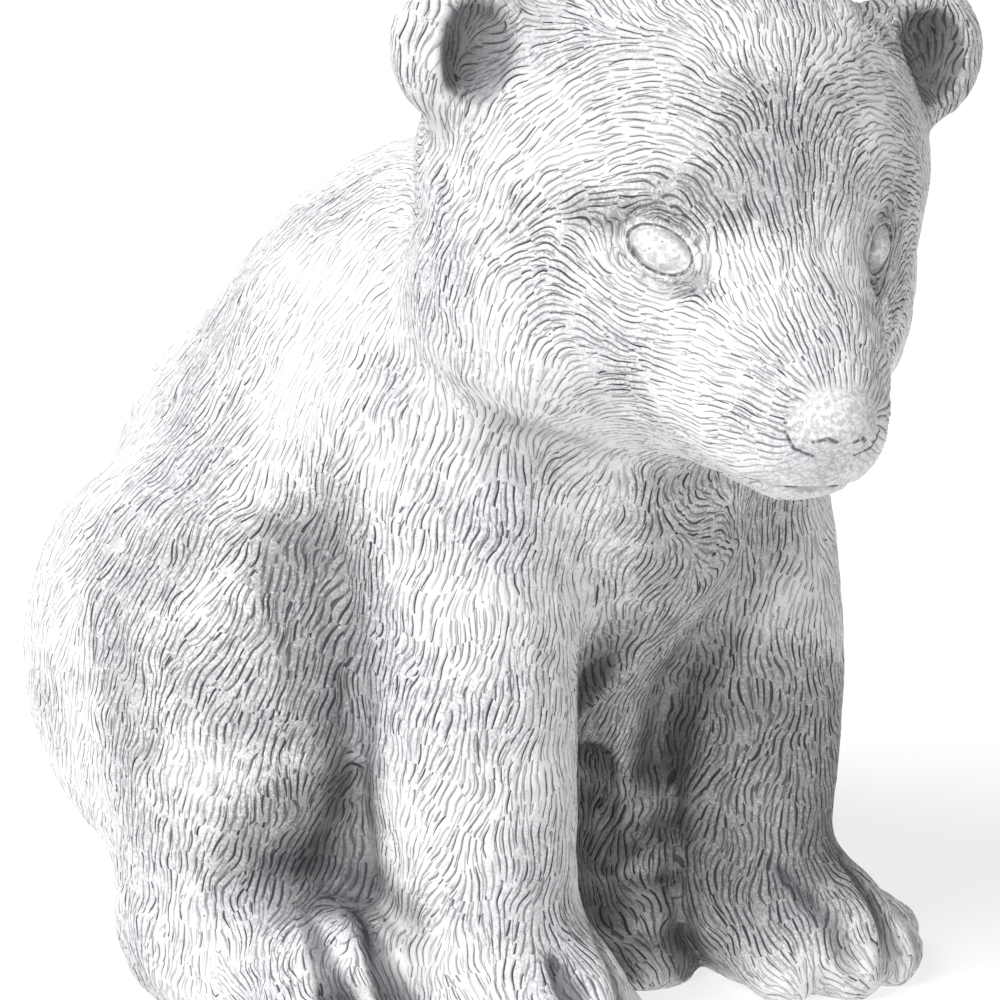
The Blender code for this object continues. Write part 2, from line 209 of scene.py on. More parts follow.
def cut(body: Array, tool: Array, blend: float) -> Array:
    """Body with the tool's volume taken out, the rim rounded over the blend width."""
    return -join(-body, tool, blend)


def groove(form: Array, across: Array, width: float, depth: float, mask: Array) -> Array:
    """Body with a crease pressed in: depth exp(-(across / width)^2) where the mask is 1."""
    return form + depth * np.exp(-((across / width) ** 2)) * mask


def toe_gap(
    form: Array, points: Array, tip: Sequence[float], bend: Sequence[float], end: Sequence[float]
) -> Array:
    """Form with the valley between two toes pressed in.

    Args:
        form: distance of each point.
        points: rows of points, as seen by a left leg.
        tip: start of the valley, under the toe tips.
        bend: its bend over them.
        end: its end up the foot.

    Returns:
        The form with a groove along that line, which fades out towards its end.
    """
    low = points[:, 2] < GAP_TOP
    near = points[low]
    across = np.minimum(limb(near, tip, bend, 0, 0), limb(near, bend, end, 0, -GAP_FADE))
    result = form.copy()
    result[low] = groove(form[low], across, GAP_WIDTH, GAP_DEPTH, 1)
    return result


def nearness(points: Array, centre: Sequence[float], radii: Sequence[float]) -> Array:
    """Weight of 1 inside an ellipsoid that fades to 0 at twice its size."""
    return np.clip(2 - length_of((points - np.array(centre)) / np.array(radii)), 0, 1)


class Side(Enum):
    """The cub's own left and right, as the sign of X."""

    LEFT = 1
    RIGHT = -1

    def mirrored(self, points: Array) -> Array:
        """Points seen as if this side were the left."""
        return points * np.array([self.value, 1, 1])


@dataclass(frozen=True)
class Trunk:
    """Rump, back, chest, belly and neck as seven joined masses: centre, radii, pitch and blend."""

    rump: tuple = ((0, 0.16, 0.22), (0.25, 0.27, 0.24))
    masses: tuple = (
        ((0, 0.13, 0.42), (0.272, 0.28, 0.22), 0, 0.09),
        ((0, 0.04, 0.57), (0.22, 0.21, 0.16), 25, 0.09),
        ((0, 0.05, 0.20), (0.20, 0.13, 0.34), 0, 0.06),
        ((0, -0.045, 0.31), (0.13, 0.085, 0.10), 0, 0.04),
    )
    neck: tuple = ((0, 0.0, 0.57), (-0.01, -0.16, 0.66), 0.18, 0.165)
    niche: tuple = ((-0.02, -0.075, 0.10), (0.062, 0.085, 0.150))
    chest: tuple = ((0, -0.10, 0.50), (0.165, 0.14, 0.20))
    chest_edge: tuple = ((0.06, -0.205, 0.43), (-0.012, -0.172, 0.345), (-0.05, -0.115, 0.27))

    def distance(self, points: Array) -> Array:
        """Distance to the joined masses."""
        form = ball(points, *self.rump)
        for centre, radii, pitch, blend in self.masses:
            form = join(form, ball(points, centre, radii, turned(pitch=pitch)), blend)
        form = cut(form, ball(points, *self.niche), 0.02)
        form = join(form, limb(points, *self.neck), 0.08)
        form = join(form, ball(points, *self.chest), 0.05)
        return join(form, tube(points, self.chest_edge, (0.016, 0.022, 0.012)), 0.012)


@dataclass(frozen=True)
class Foreleg:
    """Straight foreleg from shoulder to wrist, with a paw of four toes."""

    side: Side
    wrist: tuple
    wrist_radius: float
    paw_out: float
    shoulder: tuple = (0.13, -0.05, 0.52)
    elbow: tuple = (0.162, -0.115, 0.32)
    toes: tuple = ((-0.063, -0.232), (-0.011, -0.262), (0.038, -0.258), (0.068, -0.222))
    gaps: tuple = ((-0.037, -0.058), (0.016, 0.010), (0.058, 0.062))

    def distance(self, points: Array) -> Array:
        """Distance to the leg and its paw."""
        local = self.side.mirrored(points)
        radii = (0.12, 0.092, self.wrist_radius)
        form = tube(local, (self.shoulder, self.elbow, self.wrist), radii, (1, 0.87, 1))
        paw_x = self.wrist[0] + self.paw_out
        paw = ball(local, (paw_x - 0.01, -0.18, 0.05), (0.084, 0.11, 0.065))
        for out, tip in self.toes:
            root = (paw_x - 0.01 + out * 0.9, -0.175, 0.052)
            paw = join(paw, limb(local, root, (paw_x + out * 1.05, tip, 0.029), 0.034, 0.033), 0.01)
        form = join(form, paw, 0.045)
        for gap in self.gap_paths():
            form = toe_gap(form, local, *gap)
        return form

    def gap_paths(self) -> list:
        """Tip, bend and end of the valley between each two toes, as on the left."""
        paw_x = self.wrist[0] + self.paw_out
        return [
            (
                (paw_x + low, -0.300, 0.015),
                (paw_x + (low + high) / 2, -0.275, 0.076),
                (paw_x + high, -0.215, 0.116),
            )
            for low, high in self.gaps
        ]


@dataclass(frozen=True)
class HindLeg:
    """Folded thigh, shank, flank web and a flat foot of four toes."""

    side: Side
    foot: tuple
    toes: tuple = ((-0.056, -0.08), (-0.019, -0.103), (0.02, -0.10), (0.056, -0.075))
    gaps: tuple = (
        (-0.028, -0.050, -0.040, 0.010),
        (0.016, -0.055, -0.008, 0.012),
        (0.057, -0.022, 0.022, 0.044),
    )
    hip_roll: tuple = ((0.262, 0.235, 0.440), (0.246, 0.112, 0.474), (0.218, -0.005, 0.470))

    def distance(self, points: Array) -> Array:
        """Distance to the leg and its foot."""
        local = self.side.mirrored(points)
        form = ball(local, (0.232, 0.155, 0.29), (0.128, 0.202, 0.20))
        form = join(form, ball(local, (0.235, 0.05, 0.35), (0.095, 0.12, 0.115)), 0.06)
        form = join(form, limb(local, (0.25, 0.05, 0.28), (0.255, 0.10, 0.09), 0.10, 0.085), 0.06)
        form = join(form, tube(local, self.hip_roll, (0.012, 0.030, 0.020)), 0.014)
        foot_x, foot_y = self.foot
        foot = limb(local, (0.245, 0.13, 0.06), (foot_x, foot_y, 0.05), 0.08, 0.075)
        for out, ahead in self.toes:
            root = (foot_x + out, foot_y + 0.01, 0.048)
            tip = (foot_x + 0.013 + out * 1.15, foot_y + ahead, 0.029)
            foot = join(foot, limb(local, root, tip, 0.036, 0.033), 0.01)
        form = join(form, foot, 0.04)
        for gap in self.gap_paths():
            form = toe_gap(form, local, *gap)
        return form

    def gap_paths(self) -> list:
        """Tip, bend and end of the valley between each two toes, as on the left."""
        x, y = self.foot
        return [
            (
                (x + low, y + ahead - 0.055, 0.015),
                (x + low, y + ahead, 0.098),
                (x + high, y + behind, 0.130),
            )
            for low, ahead, high, behind in self.gaps
        ]

    def web(self, points: Array) -> Array:
        """Distance to the fill between thigh, belly and foreleg."""
        return ball(self.side.mirrored(points), (0.19, 0.01, 0.20), (0.055, 0.09, 0.21))


@dataclass(frozen=True)
class FurFolds:
    """Column of soft fur folds between the forelegs, against the left one."""

    count: int = 4

    def distance(self, points: Array) -> Array:
        """Distance to the column and its folds."""
        form = limb(points, (0.074, -0.090, 0.0), (0.085, -0.055, 0.17), 0.048, 0.042)
        for index in range(self.count):
            centre = (0.070 + 0.004 * index, -0.100 + 0.008 * index, 0.018 + 0.05 * index)
            fold = ball(points, centre, (0.052, 0.045, 0.026), turned(roll=-18))
            form = join(form, fold, 0.018)
        return form


@dataclass(frozen=True)
class Head:
    """Skull, cheeks, ears, eyes and muzzle in a frame of lateral, forward and up."""

    centre: tuple = (-0.01, -0.221, 0.729)
    yaw: float = -18.3
    roll: float = 3.95
    nose: tuple = (0.0, 0.302, -0.128)
    nose_radii: tuple = (0.033, 0.024, 0.025)
    eye: tuple = (0.101, 0.170, -0.011)
    eye_radii: tuple = (0.0322, 0.024, 0.0200)
    eye_depth: float = 0.018
    lid_radii: tuple = (0.0312, 0.0202)
    ear: tuple = (0.214, 0.0, 0.132)
    ear_hollow: tuple = (0.204, 0.036, 0.126)

    def local(self, points: Array) -> Array:
        """Points in the head's own lateral, forward and up."""
        frame_turn = turned(yaw=self.yaw, roll=self.roll)
        return (points - np.array(self.centre)) @ frame_turn.T * np.array([1, -1, 1])

    def world(self, local: Sequence[float]) -> Array:
        """A local place in the figure's frame."""
        frame_turn = turned(yaw=self.yaw, roll=self.roll)
        return np.array(self.centre) + (np.array(local) * np.array([1, -1, 1])) @ frame_turn

    def world_way(self, local: Array) -> Array:
        """A local direction in the figure's frame."""
        return (local * np.array([1, -1, 1])) @ turned(yaw=self.yaw, roll=self.roll)

    def eye_frame(self, side: Side) -> tuple[Array, Array, Array]:
        """Centre, frame and outward direction of one eye."""
        centre = np.array(self.eye) * np.array([side.value, 1, 1])
        turn = turned(yaw=-side.value * 42, pitch=4, roll=-side.value * 21)
        return centre, turn, turn[1]

    def with_eye(self, form: Array, local: Array, side: Side) -> Array:
        """Form with a shallow socket, a thin lid rim and a smooth eyeball."""
        centre, turn, outward = self.eye_frame(side)
        form = cut(form, ball(local, centre + 0.005 * outward, (0.042, 0.013, 0.030), turn), 0.016)
        rim = ring(local, centre - 0.004 * outward, turn, self.lid_radii, 0.0036)
        globe = ball(local, centre - self.eye_depth * outward, self.eye_radii, turn)
        return join(join(form, rim, 0.006), globe, 0.001)

    def with_muzzle(self, form: Array, local: Array) -> Array:
        """Form with bridge, lips, chin and nose pad, nostrils cut and the mouth pressed in."""
        form = join(form, limb(local, (0, 0.04, -0.06), (0, 0.20, -0.112), 0.148, 0.078), 0.05)
        form = join(form, limb(local, (0, 0.08, -0.035), (0, 0.257, -0.120), 0.112, 0.051), 0.06)
        form = join(form, limb(local, (0, 0.07, -0.10), (0, 0.236, -0.161), 0.095, 0.037), 0.04)
        for side in Side:
            s = side.value
            lip = limb(local, (s * 0.035, 0.18, -0.110), (s * 0.022, 0.260, -0.146), 0.06, 0.034)
            form = join(form, lip, 0.03)
        form = join(form, ball(local, self.nose, self.nose_radii, turned(pitch=12)), 0.008)
        for side in Side:
            s = side.value
            slit = limb(local, (s * 0.011, 0.327, -0.147), (s * 0.025, 0.317, -0.142), 0.0045, 0.003)
            form = cut(form, slit, 0.003)
            corner = (s * 0.042, 0.302, -0.142)
            fold = (s * 0.021, 0.311, -0.160)
            form = cut(form, limb(local, corner, fold, 0.0015, 0.004), 0.003)
            form = cut(form, limb(local, fold, (0, 0.316, -0.163), 0.004, 0.003), 0.003)
        lateral, forward, up = local.T
        mouth = fade(forward, 0.225, 0.275)
        form = groove(form, up + 0.187 + 0.05 * (forward - 0.30), 0.0028, 0.004, mouth)
        below = fade(up, -0.184, -0.178) * fade(up, -0.140, -0.148)
        return groove(form, lateral, 0.003, 0.0025, below * fade(forward, 0.28, 0.29))

    def distance(self, points: Array) -> Array:
        """Distance to the whole head."""
        local = self.local(points)
        form = ball(local, (0, -0.02, 0.03), (0.226, 0.18, 0.19))
        form = join(form, ball(local, (0, 0.075, 0.015), (0.142, 0.125, 0.125)), 0.06)
        for side in Side:
            cheek = ball(local, (side.value * 0.11, 0.01, -0.09), (0.09, 0.12, 0.09))
            form = join(form, cheek, 0.05)
        form = join(form, ball(local, (-0.135, -0.03, -0.09), (0.087, 0.10, 0.085)), 0.05)
        form = self.with_muzzle(form, local)
        for side in Side:
            flip = np.array([side.value, 1, 1])
            ear = ball(local, self.ear * flip, (0.060, 0.038, 0.064))
            hollow_turn = turned(roll=side.value * 14)
            hollow = ball(local, self.ear_hollow * flip, (0.034, 0.034, 0.046), hollow_turn)
            form = join(form, cut(ear, hollow, 0.014), 0.03)
            form = self.with_eye(form, local, side)
        return form


def spun(value: Array, bits: int) -> Array:
    """Bits of 32-bit whole numbers turned round to the left."""
    return (value << np.uint32(bits)) | (value >> np.uint32(32 - bits))


def stirred(a: Array, b: Array, c: Array) -> Array:
    """Last mix of Jenkins' hash, as Blender's textures do it."""
    c = (c ^ b) - spun(b, 14)
    a = (a ^ c) - spun(c, 11)
    b = (b ^ a) - spun(a, 25)
    c = (c ^ b) - spun(b, 16)
    a = (a ^ c) - spun(c, 4)
    b = (b ^ a) - spun(a, 14)
    return (c ^ b) - spun(b, 24)


def hash_of(words: Sequence[Array]) -> Array:
    """Jenkins' hash of three or four 32-bit words.

    Args:
        words: three or four arrays of whole numbers.

    Returns:
        Their hash, as whole numbers.
    """
    start = np.uint32(0xDEADBEEF + (len(words) << 2) + 13)
    a, b, c = words[0] + start, words[1] + start, words[2] + start
    if len(words) == 4:
        for first, second in ((4, 6), (16, 19)):
            a = (a - c) ^ spun(c, first)
            c = c + b
            b = (b - a) ^ spun(a, second)
            a = a + c
            c = (c - b) ^ spun(b, 8 if first == 4 else 4)
            b = b + a
        a = a + words[3]
    return stirred(a, b, c)


@dataclass(frozen=True)
class BlenderNoise:
    """The noise that Blender's Noise Texture draws at detail 0, for arrays of points."""

    def _slope(self, mixed: Array, x: Array, y: Array, z: Array) -> Array:
        """Dot product of the offset with one of the lattice's sixteen directions."""
        h = mixed & np.uint32(15)
        u = np.where(h < 8, x, y)
        v = np.where(h < 4, y, np.where((h == 12) | (h == 14), x, z))
        return np.where(h & np.uint32(1), -u, u) + np.where(h & np.uint32(2), -v, v)

    def __call__(self, points: Array) -> Array:
        """Gradient noise, about -1 to 1.

        Args:
            points: rows of points, one lattice cell per unit.

        Returns:
            0.982 times the corner slopes mixed by 6t^5 - 15t^4 + 10t^3 along each axis.
        """
        points = points.astype(np.float32)
        base = np.floor(points)
        part = points - base
        lattice = base.astype(np.int64).astype(np.uint32)
        weight = part * part * part * (part * (part * 6 - 15) + 10)
        total = np.zeros(len(points), np.float32)
        for corner in np.ndindex(2, 2, 2):
            place = [lattice[:, axis] + np.uint32(corner[axis]) for axis in range(3)]
            offset = part - np.array(corner, np.float32)
            share = np.prod(np.where(np.array(corner) == 1, weight, 1 - weight), axis=1)
            total += share * self._slope(hash_of(place), *offset.T)
        return 0.982 * total


NOISE = BlenderNoise()


def cell_centre(points: Array) -> Array:
    """Nearest centre of the scattered cells that Blender's Voronoi Texture draws.

    Args:
        points: rows of points, one cell per unit.

    Returns:
        For each point the nearest of the 27 centres around it, one hashed from each lattice corner.
    """
    points = points.astype(np.float32)
    base = np.floor(points)
    best = np.full(len(points), np.inf, np.float32)
    nearest = np.zeros(points.shape, np.float32)
    fourth = [np.full(len(points), value, np.float32).view(np.uint32) for value in (1.0, 2.0)]
    for shift in np.ndindex(3, 3, 3):
        corner = base + np.array(shift, np.float32) - 1
        words = [np.ascontiguousarray(corner[:, axis] + np.float32(0)).view(np.uint32) for axis in range(3)]
        hashes = [hash_of(words), hash_of([*words, fourth[0]]), hash_of([*words, fourth[1]])]
        centre = corner + np.stack(hashes, axis=1).astype(np.float32) / np.float32(0xFFFFFFFF)
        gap = ((centre - points) ** 2).sum(1)
        nearer = gap < best
        best = np.where(nearer, gap, best)
        nearest = np.where(nearer[:, None], centre, nearest)
    return nearest


@dataclass(frozen=True)
class Strokes:
    """Carved strokes of hair: patches of side-by-side lines that follow the way of the hair.

    Lengths are in metres. A patch is one cell of the scattered cells. With o the offset from its
    centre, a line runs wherever o.across / pitch + sway noise is a whole number, and it tapers off
    as o.way leaves the middle of the stroke, which is shifted by noise from line to line.
    """

    patch: float = 0.0092
    pitch: float = 0.0026
    head_pitch: float = 0.0021
    length: float = 0.0125
    sway_cell: float = 0.0075
    sway: float = 0.50
    stagger: float = 0.0060
    line_step: float = 0.63
    chance_step: float = 1.37
    chance_scale: float = 1.7

    def __call__(self, rest: Array, way: Array, across: Array, on_head: Array) -> tuple[Array, Array]:
        """Nearness to a line and the taper there.

        Args:
            rest: points in metres.
            way: the way of the hair.
            across: the direction in the surface at right angles to it.
            on_head: 1 on the head, where the lines are closer.

        Returns:
            Distance from the nearest line as a share of the pitch, 0 to 0.5, and the taper, 1 at the
            middle of a stroke and 0 past its ends.
        """
        centre = cell_centre(rest / self.patch)
        offset = rest - centre * self.patch
        density = 1 / self.pitch + on_head * (1 / self.head_pitch - 1 / self.pitch)
        phase = np.einsum("ij,ij->i", offset, across) * density
        phase = phase + self.sway * NOISE(rest / self.sway_cell)
        line = np.round(phase)
        shift = self.stagger * NOISE(centre + self.line_step * line[:, None])
        along = (np.einsum("ij,ij->i", offset, way) + shift) / (self.length / 2)
        return np.abs(phase - line), np.clip(1 - along * along, 0, 1)


@dataclass(frozen=True)
class CubForm:
    """The whole cub without its fur, cut flat at z = 0."""

    trunk: Trunk = Trunk()
    head: Head = Head()
    folds: FurFolds = FurFolds()
    forelegs: tuple = (
        Foreleg(Side.LEFT, (0.150, -0.135, 0.10), 0.070, 0.03),
        Foreleg(Side.RIGHT, (0.160, -0.135, 0.10), 0.078, 0.005),
    )
    hind_legs: tuple = (HindLeg(Side.LEFT, (0.240, 0.035)), HindLeg(Side.RIGHT, (0.257, -0.08)))
    slope_step: float = 0.0015

    def distance(self, points: Array) -> Array:
        """Distance to the joined body, legs, folds and head."""
        form = self.trunk.distance(points)
        for foreleg, hind_leg in zip(self.forelegs, self.hind_legs):
            form = join(form, foreleg.distance(points), 0.03)
            form = join(form, hind_leg.distance(points), 0.025)
            form = join(form, hind_leg.web(points), 0.02)
        form = join(form, self.folds.distance(points), 0.012)
        form = join(form, self.head.distance(points), 0.03)
        return np.maximum(form, -points[:, 2])

    def slope(self, points: Array) -> Array:
        """Unit direction in which the distance grows, from four samples around each point."""
        corners = np.array([[1, -1, -1], [-1, -1, 1], [-1, 1, -1], [1, 1, 1]])
        way = np.zeros(points.shape)
        for corner in corners:
            way += self.distance(points + self.slope_step * corner)[:, None] * corner
        return unit(way)

    def settled(self, points: Array, steps: int, most: float) -> Array:
        """Points brought onto the surface.

        Args:
            points: rows of points near the surface.
            steps: how often each point moves by its distance against the slope.
            most: the longest single move.

        Returns:
            The moved points.
        """
        for _ in range(steps):
            move = np.clip(self.distance(points), -most, most)
            points = points - self.slope(points) * move[:, None]
        return points


@dataclass(frozen=True)
class SurfaceNet:
    """Quads over a form's zero surface, with one vertex in each grid cell that the surface crosses."""

    cell: float = 0.0085
    block: int = 4
    margin: float = 1.8
    low: tuple = (-0.46, -0.60, -0.034)
    high: tuple = (0.46, 0.50, 1.01)

    def field(self, form: Form) -> Array:
        """Distances on the grid, exact near the surface and one value a block elsewhere."""
        block = self.block * self.cell
        low = np.array(self.low)
        counts = np.ceil((np.array(self.high) - low) / block).astype(int)
        centres = low + block / 2 + np.stack(np.indices(counts), axis=-1).reshape(-1, 3) * block
        rough = form(centres).reshape(counts)
        near = np.abs(rough) < self.margin * block
        values, needed = (
            np.pad(np.kron(grid, np.ones((self.block,) * 3, grid.dtype)), (0, 1), mode="edge")
            for grid in (rough, near)
        )
        for axis in range(3):
            needed = needed | np.roll(needed, 1, axis)
        values[needed] = form(low + np.argwhere(needed) * self.cell)
        return values

    def quads(self, form: Form) -> tuple[Array, Array]:
        """Vertices and quads of the surface.

        A vertex is the mean of the places where its cell's edges cross zero. A quad joins the four
        cells round each crossed edge, turned so that it faces outwards.

        Args:
            form: the distance function.

        Returns:
            Vertices in the form's units, and rows of four vertex numbers.
        """
        field_values = self.field(form)
        inside = field_values < 0
        shape = np.array(field_values.shape)
        total = np.zeros(tuple(shape - 1) + (3,))
        count = np.zeros(tuple(shape - 1))
        for axis in range(3):
            other = [index for index in range(3) if index != axis]
            low = [slice(None)] * 3
            high = [slice(None)] * 3
            low[axis], high[axis] = slice(0, -1), slice(1, None)
            crossing = inside[tuple(low)] != inside[tuple(high)]
            gap = field_values[tuple(high)] - field_values[tuple(low)]
            share = np.where(crossing, -field_values[tuple(low)] / np.where(crossing, gap, 1), 0)
            for shift in np.ndindex(2, 2):
                cells = [slice(None)] * 3
                for index, moved in zip(other, shift):
                    cells[index] = slice(moved, shape[index] - 1 + moved)
                hit = crossing[tuple(cells)]
                count += hit
                total[..., axis] += share[tuple(cells)] * hit
                for index, moved in zip(other, shift):
                    total[..., index] += moved * hit
        used = count > 0
        number = np.full(count.shape, -1)
        number[used] = np.arange(used.sum())
        vertices = np.array(self.low) + self.cell * (np.argwhere(used) + total[used] / count[used][:, None])
        return vertices, self._rings(inside, number)

    def _rings(self, inside: Array, number: Array) -> Array:
        """Quads from the vertex numbers of the four cells round each crossed grid edge."""
        quads = []
        for axis in range(3):
            a, b = (axis + 1) % 3, (axis + 2) % 3
            low = [slice(1, -1)] * 3
            high = [slice(1, -1)] * 3
            low[axis], high[axis] = slice(0, -1), slice(1, None)
            starts = inside[tuple(low)]
            at = np.argwhere(starts != inside[tuple(high)])
            leaving = starts[tuple(at.T)]
            at[:, [a, b]] += 1
            ring_cells = []
            for back_a, back_b in ((1, 1), (0, 1), (0, 0), (1, 0)):
                cell = at.copy()
                cell[:, a] -= back_a
                cell[:, b] -= back_b
                ring_cells.append(number[tuple(cell.T)])
            quad = np.stack(ring_cells, axis=1)
            quad[~leaving] = quad[~leaving][:, ::-1]
            quads.append(quad)
        return np.concatenate(quads)


@dataclass(frozen=True)
class FurWay:
    """The way the hair lies: down the body, back from the nose round the eyes, forward on the paws.

    Places are in shares of height. The angle of the waves is in degrees.
    """

    form: CubForm
    eye_clear: float = 0.036
    swirl_step: float = 0.010
    swirl_range: tuple = (0.45, 0.85)
    wave_cell: float = 0.045
    wave_turn: float = 42.0
    head_wave: float = 0.6
    tuft_cell: float = 0.075
    tuft_turn: float = 120.0
    chest: tuple = (0.0, -0.20, 0.46)
    chest_size: tuple = (0.10, 0.09, 0.13)

    def _round_eyes(self, points: Array, way: Array) -> Array:
        """Way bent round each eye as a stream bends round a post: w - (a/r)^2 (2 (w.r) r - w)."""
        head = self.form.head
        for side in Side:
            centre, _, _ = head.eye_frame(side)
            from_eye = points - head.world(centre)
            away = unit(from_eye)
            strength = np.clip(self.eye_clear / (length_of(from_eye) + 1e-6), 0, 1) ** 2
            along = np.einsum("ij,ij->i", way, away)
            way = way - strength[:, None] * (2 * along[:, None] * away - way)
        return way

    def on_head(self, points: Array) -> Array:
        """1 on the head and 0 on the body, for points in shares of height."""
        local = self.form.head.local(points)
        return fade(limb(local, (0, -0.06, 0.03), (0, 0.26, -0.13), 0.21, 0.085), 0.05, 0.0)

    def __call__(self, points: Array, normals: Array) -> Array:
        """Unit way in the surface at each point.

        Args:
            points: rows of points on the surface.
            normals: the outward normals there.

        Returns:
            Unit vectors at right angles to the normals.
        """
        head = self.form.head
        way = np.array([0, 0.25, -1.0]) + points * np.array([0.6, 0, 0])
        on_head = self.on_head(points)[:, None]
        from_nose = unit(points - head.world(head.nose))
        from_nose = self._round_eyes(points, from_nose)
        way = way * (1 - on_head) + from_nose * on_head
        low = fade(points[:, 2], 0.13, 0.07) * (points[:, 1] < 0.02)
        way = way * (1 - low[:, None]) + np.array([0, -0.7, -0.8]) * low[:, None]
        way = unit(way - normals * np.einsum("ij,ij->i", way, normals)[:, None])
        tufts = nearness(points, self.chest, self.chest_size)
        calmer = 1 - (1 - self.head_wave) * on_head[:, 0]
        turn = self.wave_turn * calmer * NOISE(points / self.wave_cell)
        turn = turn + self.tuft_turn * tufts * NOISE(points / self.tuft_cell + 7.3)
        angle = np.radians(turn)[:, None]
        return way * np.cos(angle) + np.cross(normals, way) * np.sin(angle)


@dataclass(frozen=True)
class Coat:
    """The carved fur as relief: fine strokes over soft locks, none on the eyes and the nose pad.

    The strokes' and locks' depths, cell and reach are in metres and the stroke width is a share of
    the pitch. The other reaches, from nothing to full, and all places are in shares of height.
    """

    form: CubForm
    strokes: Strokes = Strokes()
    stroke_depth: float = 0.00055
    stroke_width: float = 0.36
    lock_cell: float = 0.0075
    lock_depth: float = 0.0011
    lock_reach: float = 0.004
    valley_reach: tuple = (0.021, 0.006)
    pad_reach: tuple = (0.010, 0.003)
    globe_reach: tuple = (0.0075, 0.004)
    lip: tuple = ((0, 0.285, -0.168), (0.034, 0.035, 0.022))
    lip_bare: float = 0.85
    # Patches of darker wash; those in the niche and arch between the forelegs, low on the left foreleg and
    # in the right thigh's crease are painted shade too.
    wash_and_shade_patches: tuple = (
        ((-0.275, -0.04, 0.38), (0.030, 0.05, 0.09), 1.0),
        ((-0.265, 0.0, 0.20), (0.052, 0.06, 0.06), 0.9),
        ((-0.31, 0.02, 0.33), (0.07, 0.09, 0.11), 0.5),
        ((-0.194, -0.318, 0.755), (0.026, 0.026, 0.014), 0.75),
        ((-0.142, -0.383, 0.698), (0.018, 0.018, 0.010), 0.45),
        ((0.026, -0.422, 0.682), (0.020, 0.020, 0.014), 0.6),
        ((0.063, -0.403, 0.740), (0.020, 0.020, 0.018), 0.4),
        ((-0.06, -0.40, 0.81), (0.055, 0.05, 0.055), 0.5),
        ((-0.14, -0.37, 0.765), (0.035, 0.04, 0.020), 0.7),
        ((0.0, -0.20, 0.47), (0.09, 0.06, 0.09), 0.5),
        ((-0.02, -0.14, 0.33), (0.07, 0.06, 0.06), 0.75),
        ((-0.03, -0.09, 0.15), (0.038, 0.07, 0.14), 1.0),
        ((0.115, -0.20, 0.18), (0.095, 0.07, 0.09), 1.0),
        ((0.12, -0.18, 0.34), (0.04, 0.05, 0.06), 0.15),
        ((-0.08, -0.19, 0.25), (0.025, 0.05, 0.10), 0.6),
        ((0.18, -0.28, 0.86), (0.04, 0.04, 0.05), 0.7),
        ((0.06, -0.36, 0.62), (0.05, 0.08, 0.05), 0.5),
    )

    def wash(self, points: Array) -> Array:
        """How much dark wash and painted shade stays, 0 to 1, for points in shares of height: the patches
        in the niche and arch between the forelegs, low on the left foreleg and in the crease between the
        right thigh and foreleg, and the gaps between the fur folds, are painted shade as well as wash.
        """
        result = np.zeros(len(points))
        for centre, radii, strength in self.wash_and_shade_patches:
            result = np.maximum(result, strength * nearness(points, centre, radii))
        # Painted shade and wash in the gaps between the fur folds.
        for index in range(self.form.folds.count):
            gap = (0.066 + 0.004 * index, -0.135 + 0.008 * index, 0.045 + 0.05 * index)
            result = np.maximum(result, nearness(points, gap, (0.036, 0.035, 0.007)))
        return result

    def valleys(self, points: Array) -> Array:
        """1 along the valleys between the toes and 0 a little way off, for points in shares of height."""
        result = np.zeros(len(points))
        for leg in (*self.form.forelegs, *self.form.hind_legs):
            local = leg.side.mirrored(points)
            for tip, bend, end in leg.gap_paths():
                upper = limb(local, bend, end, 0, -GAP_FADE / 2)
                across = np.minimum(limb(local, tip, bend, 0, 0), upper)
                result = np.maximum(result, fade(across, *self.valley_reach))
        return result

    def bare(self, points: Array) -> Array:
        """1 on the eyeballs and the nose pad and 0 a little way off, for points in shares of height."""
        head = self.form.head
        local = head.local(points)
        result = fade(ball(local, head.nose, head.nose_radii, turned(pitch=12)), *self.pad_reach)
        result = np.maximum(result, self.lip_bare * nearness(local, *self.lip))
        for side in Side:
            centre, turn, outward = head.eye_frame(side)
            globe = ball(local, centre - head.eye_depth * outward, head.eye_radii, turn)
            result = np.maximum(result, fade(globe, *self.globe_reach))
        return result

    def height(self, facts: dict) -> Array:
        """Relief in metres.

        Args:
            facts: arrays rest, way, across, on_head, bare and flat, as BearCub works them out.

        Returns:
            The locks' noise, less a groove along each stroke's line.
        """
        apart, taper = self.strokes(facts["rest"], facts["way"], facts["across"], facts["on_head"])
        groove_depth = self.stroke_depth * fade(apart, self.stroke_width, 0.0) * np.sqrt(taper)
        along = [
            NOISE((facts["rest"] + facts["way"] * reach) / self.lock_cell)
            for reach in (-self.lock_reach, 0.0, self.lock_reach)
        ]
        soft = self.lock_depth * sum(along) / len(along)
        return (soft - groove_depth) * (1 - facts["bare"]) * (1 - facts["flat"])


@dataclass(frozen=True)
class Placement:
    """Takes the form's shares of height to the frame's metres: p -> (p - middle) x scale."""

    middle: tuple
    scale: float

    @classmethod
    def on_solid(cls, vertices: Array, box: tuple) -> "Placement":
        """Placement that centres these vertices on the solid's box and gives them its height."""
        low, high = (np.array(corner) for corner in box)
        scale = (high[2] - low[2]) / vertices[:, 2].max()
        centre = (vertices.min(0) + vertices.max(0)) / 2 - (low + high) / 2 / scale
        return cls((centre[0], centre[1], 0.0), scale)

    def metres(self, points: Array) -> Array:
        """Points in metres."""
        return (points - np.array(self.middle)) * self.scale

    def shares(self, points: Array) -> Array:
        """Points in metres taken back to shares of height."""
        return points / self.scale + np.array(self.middle)


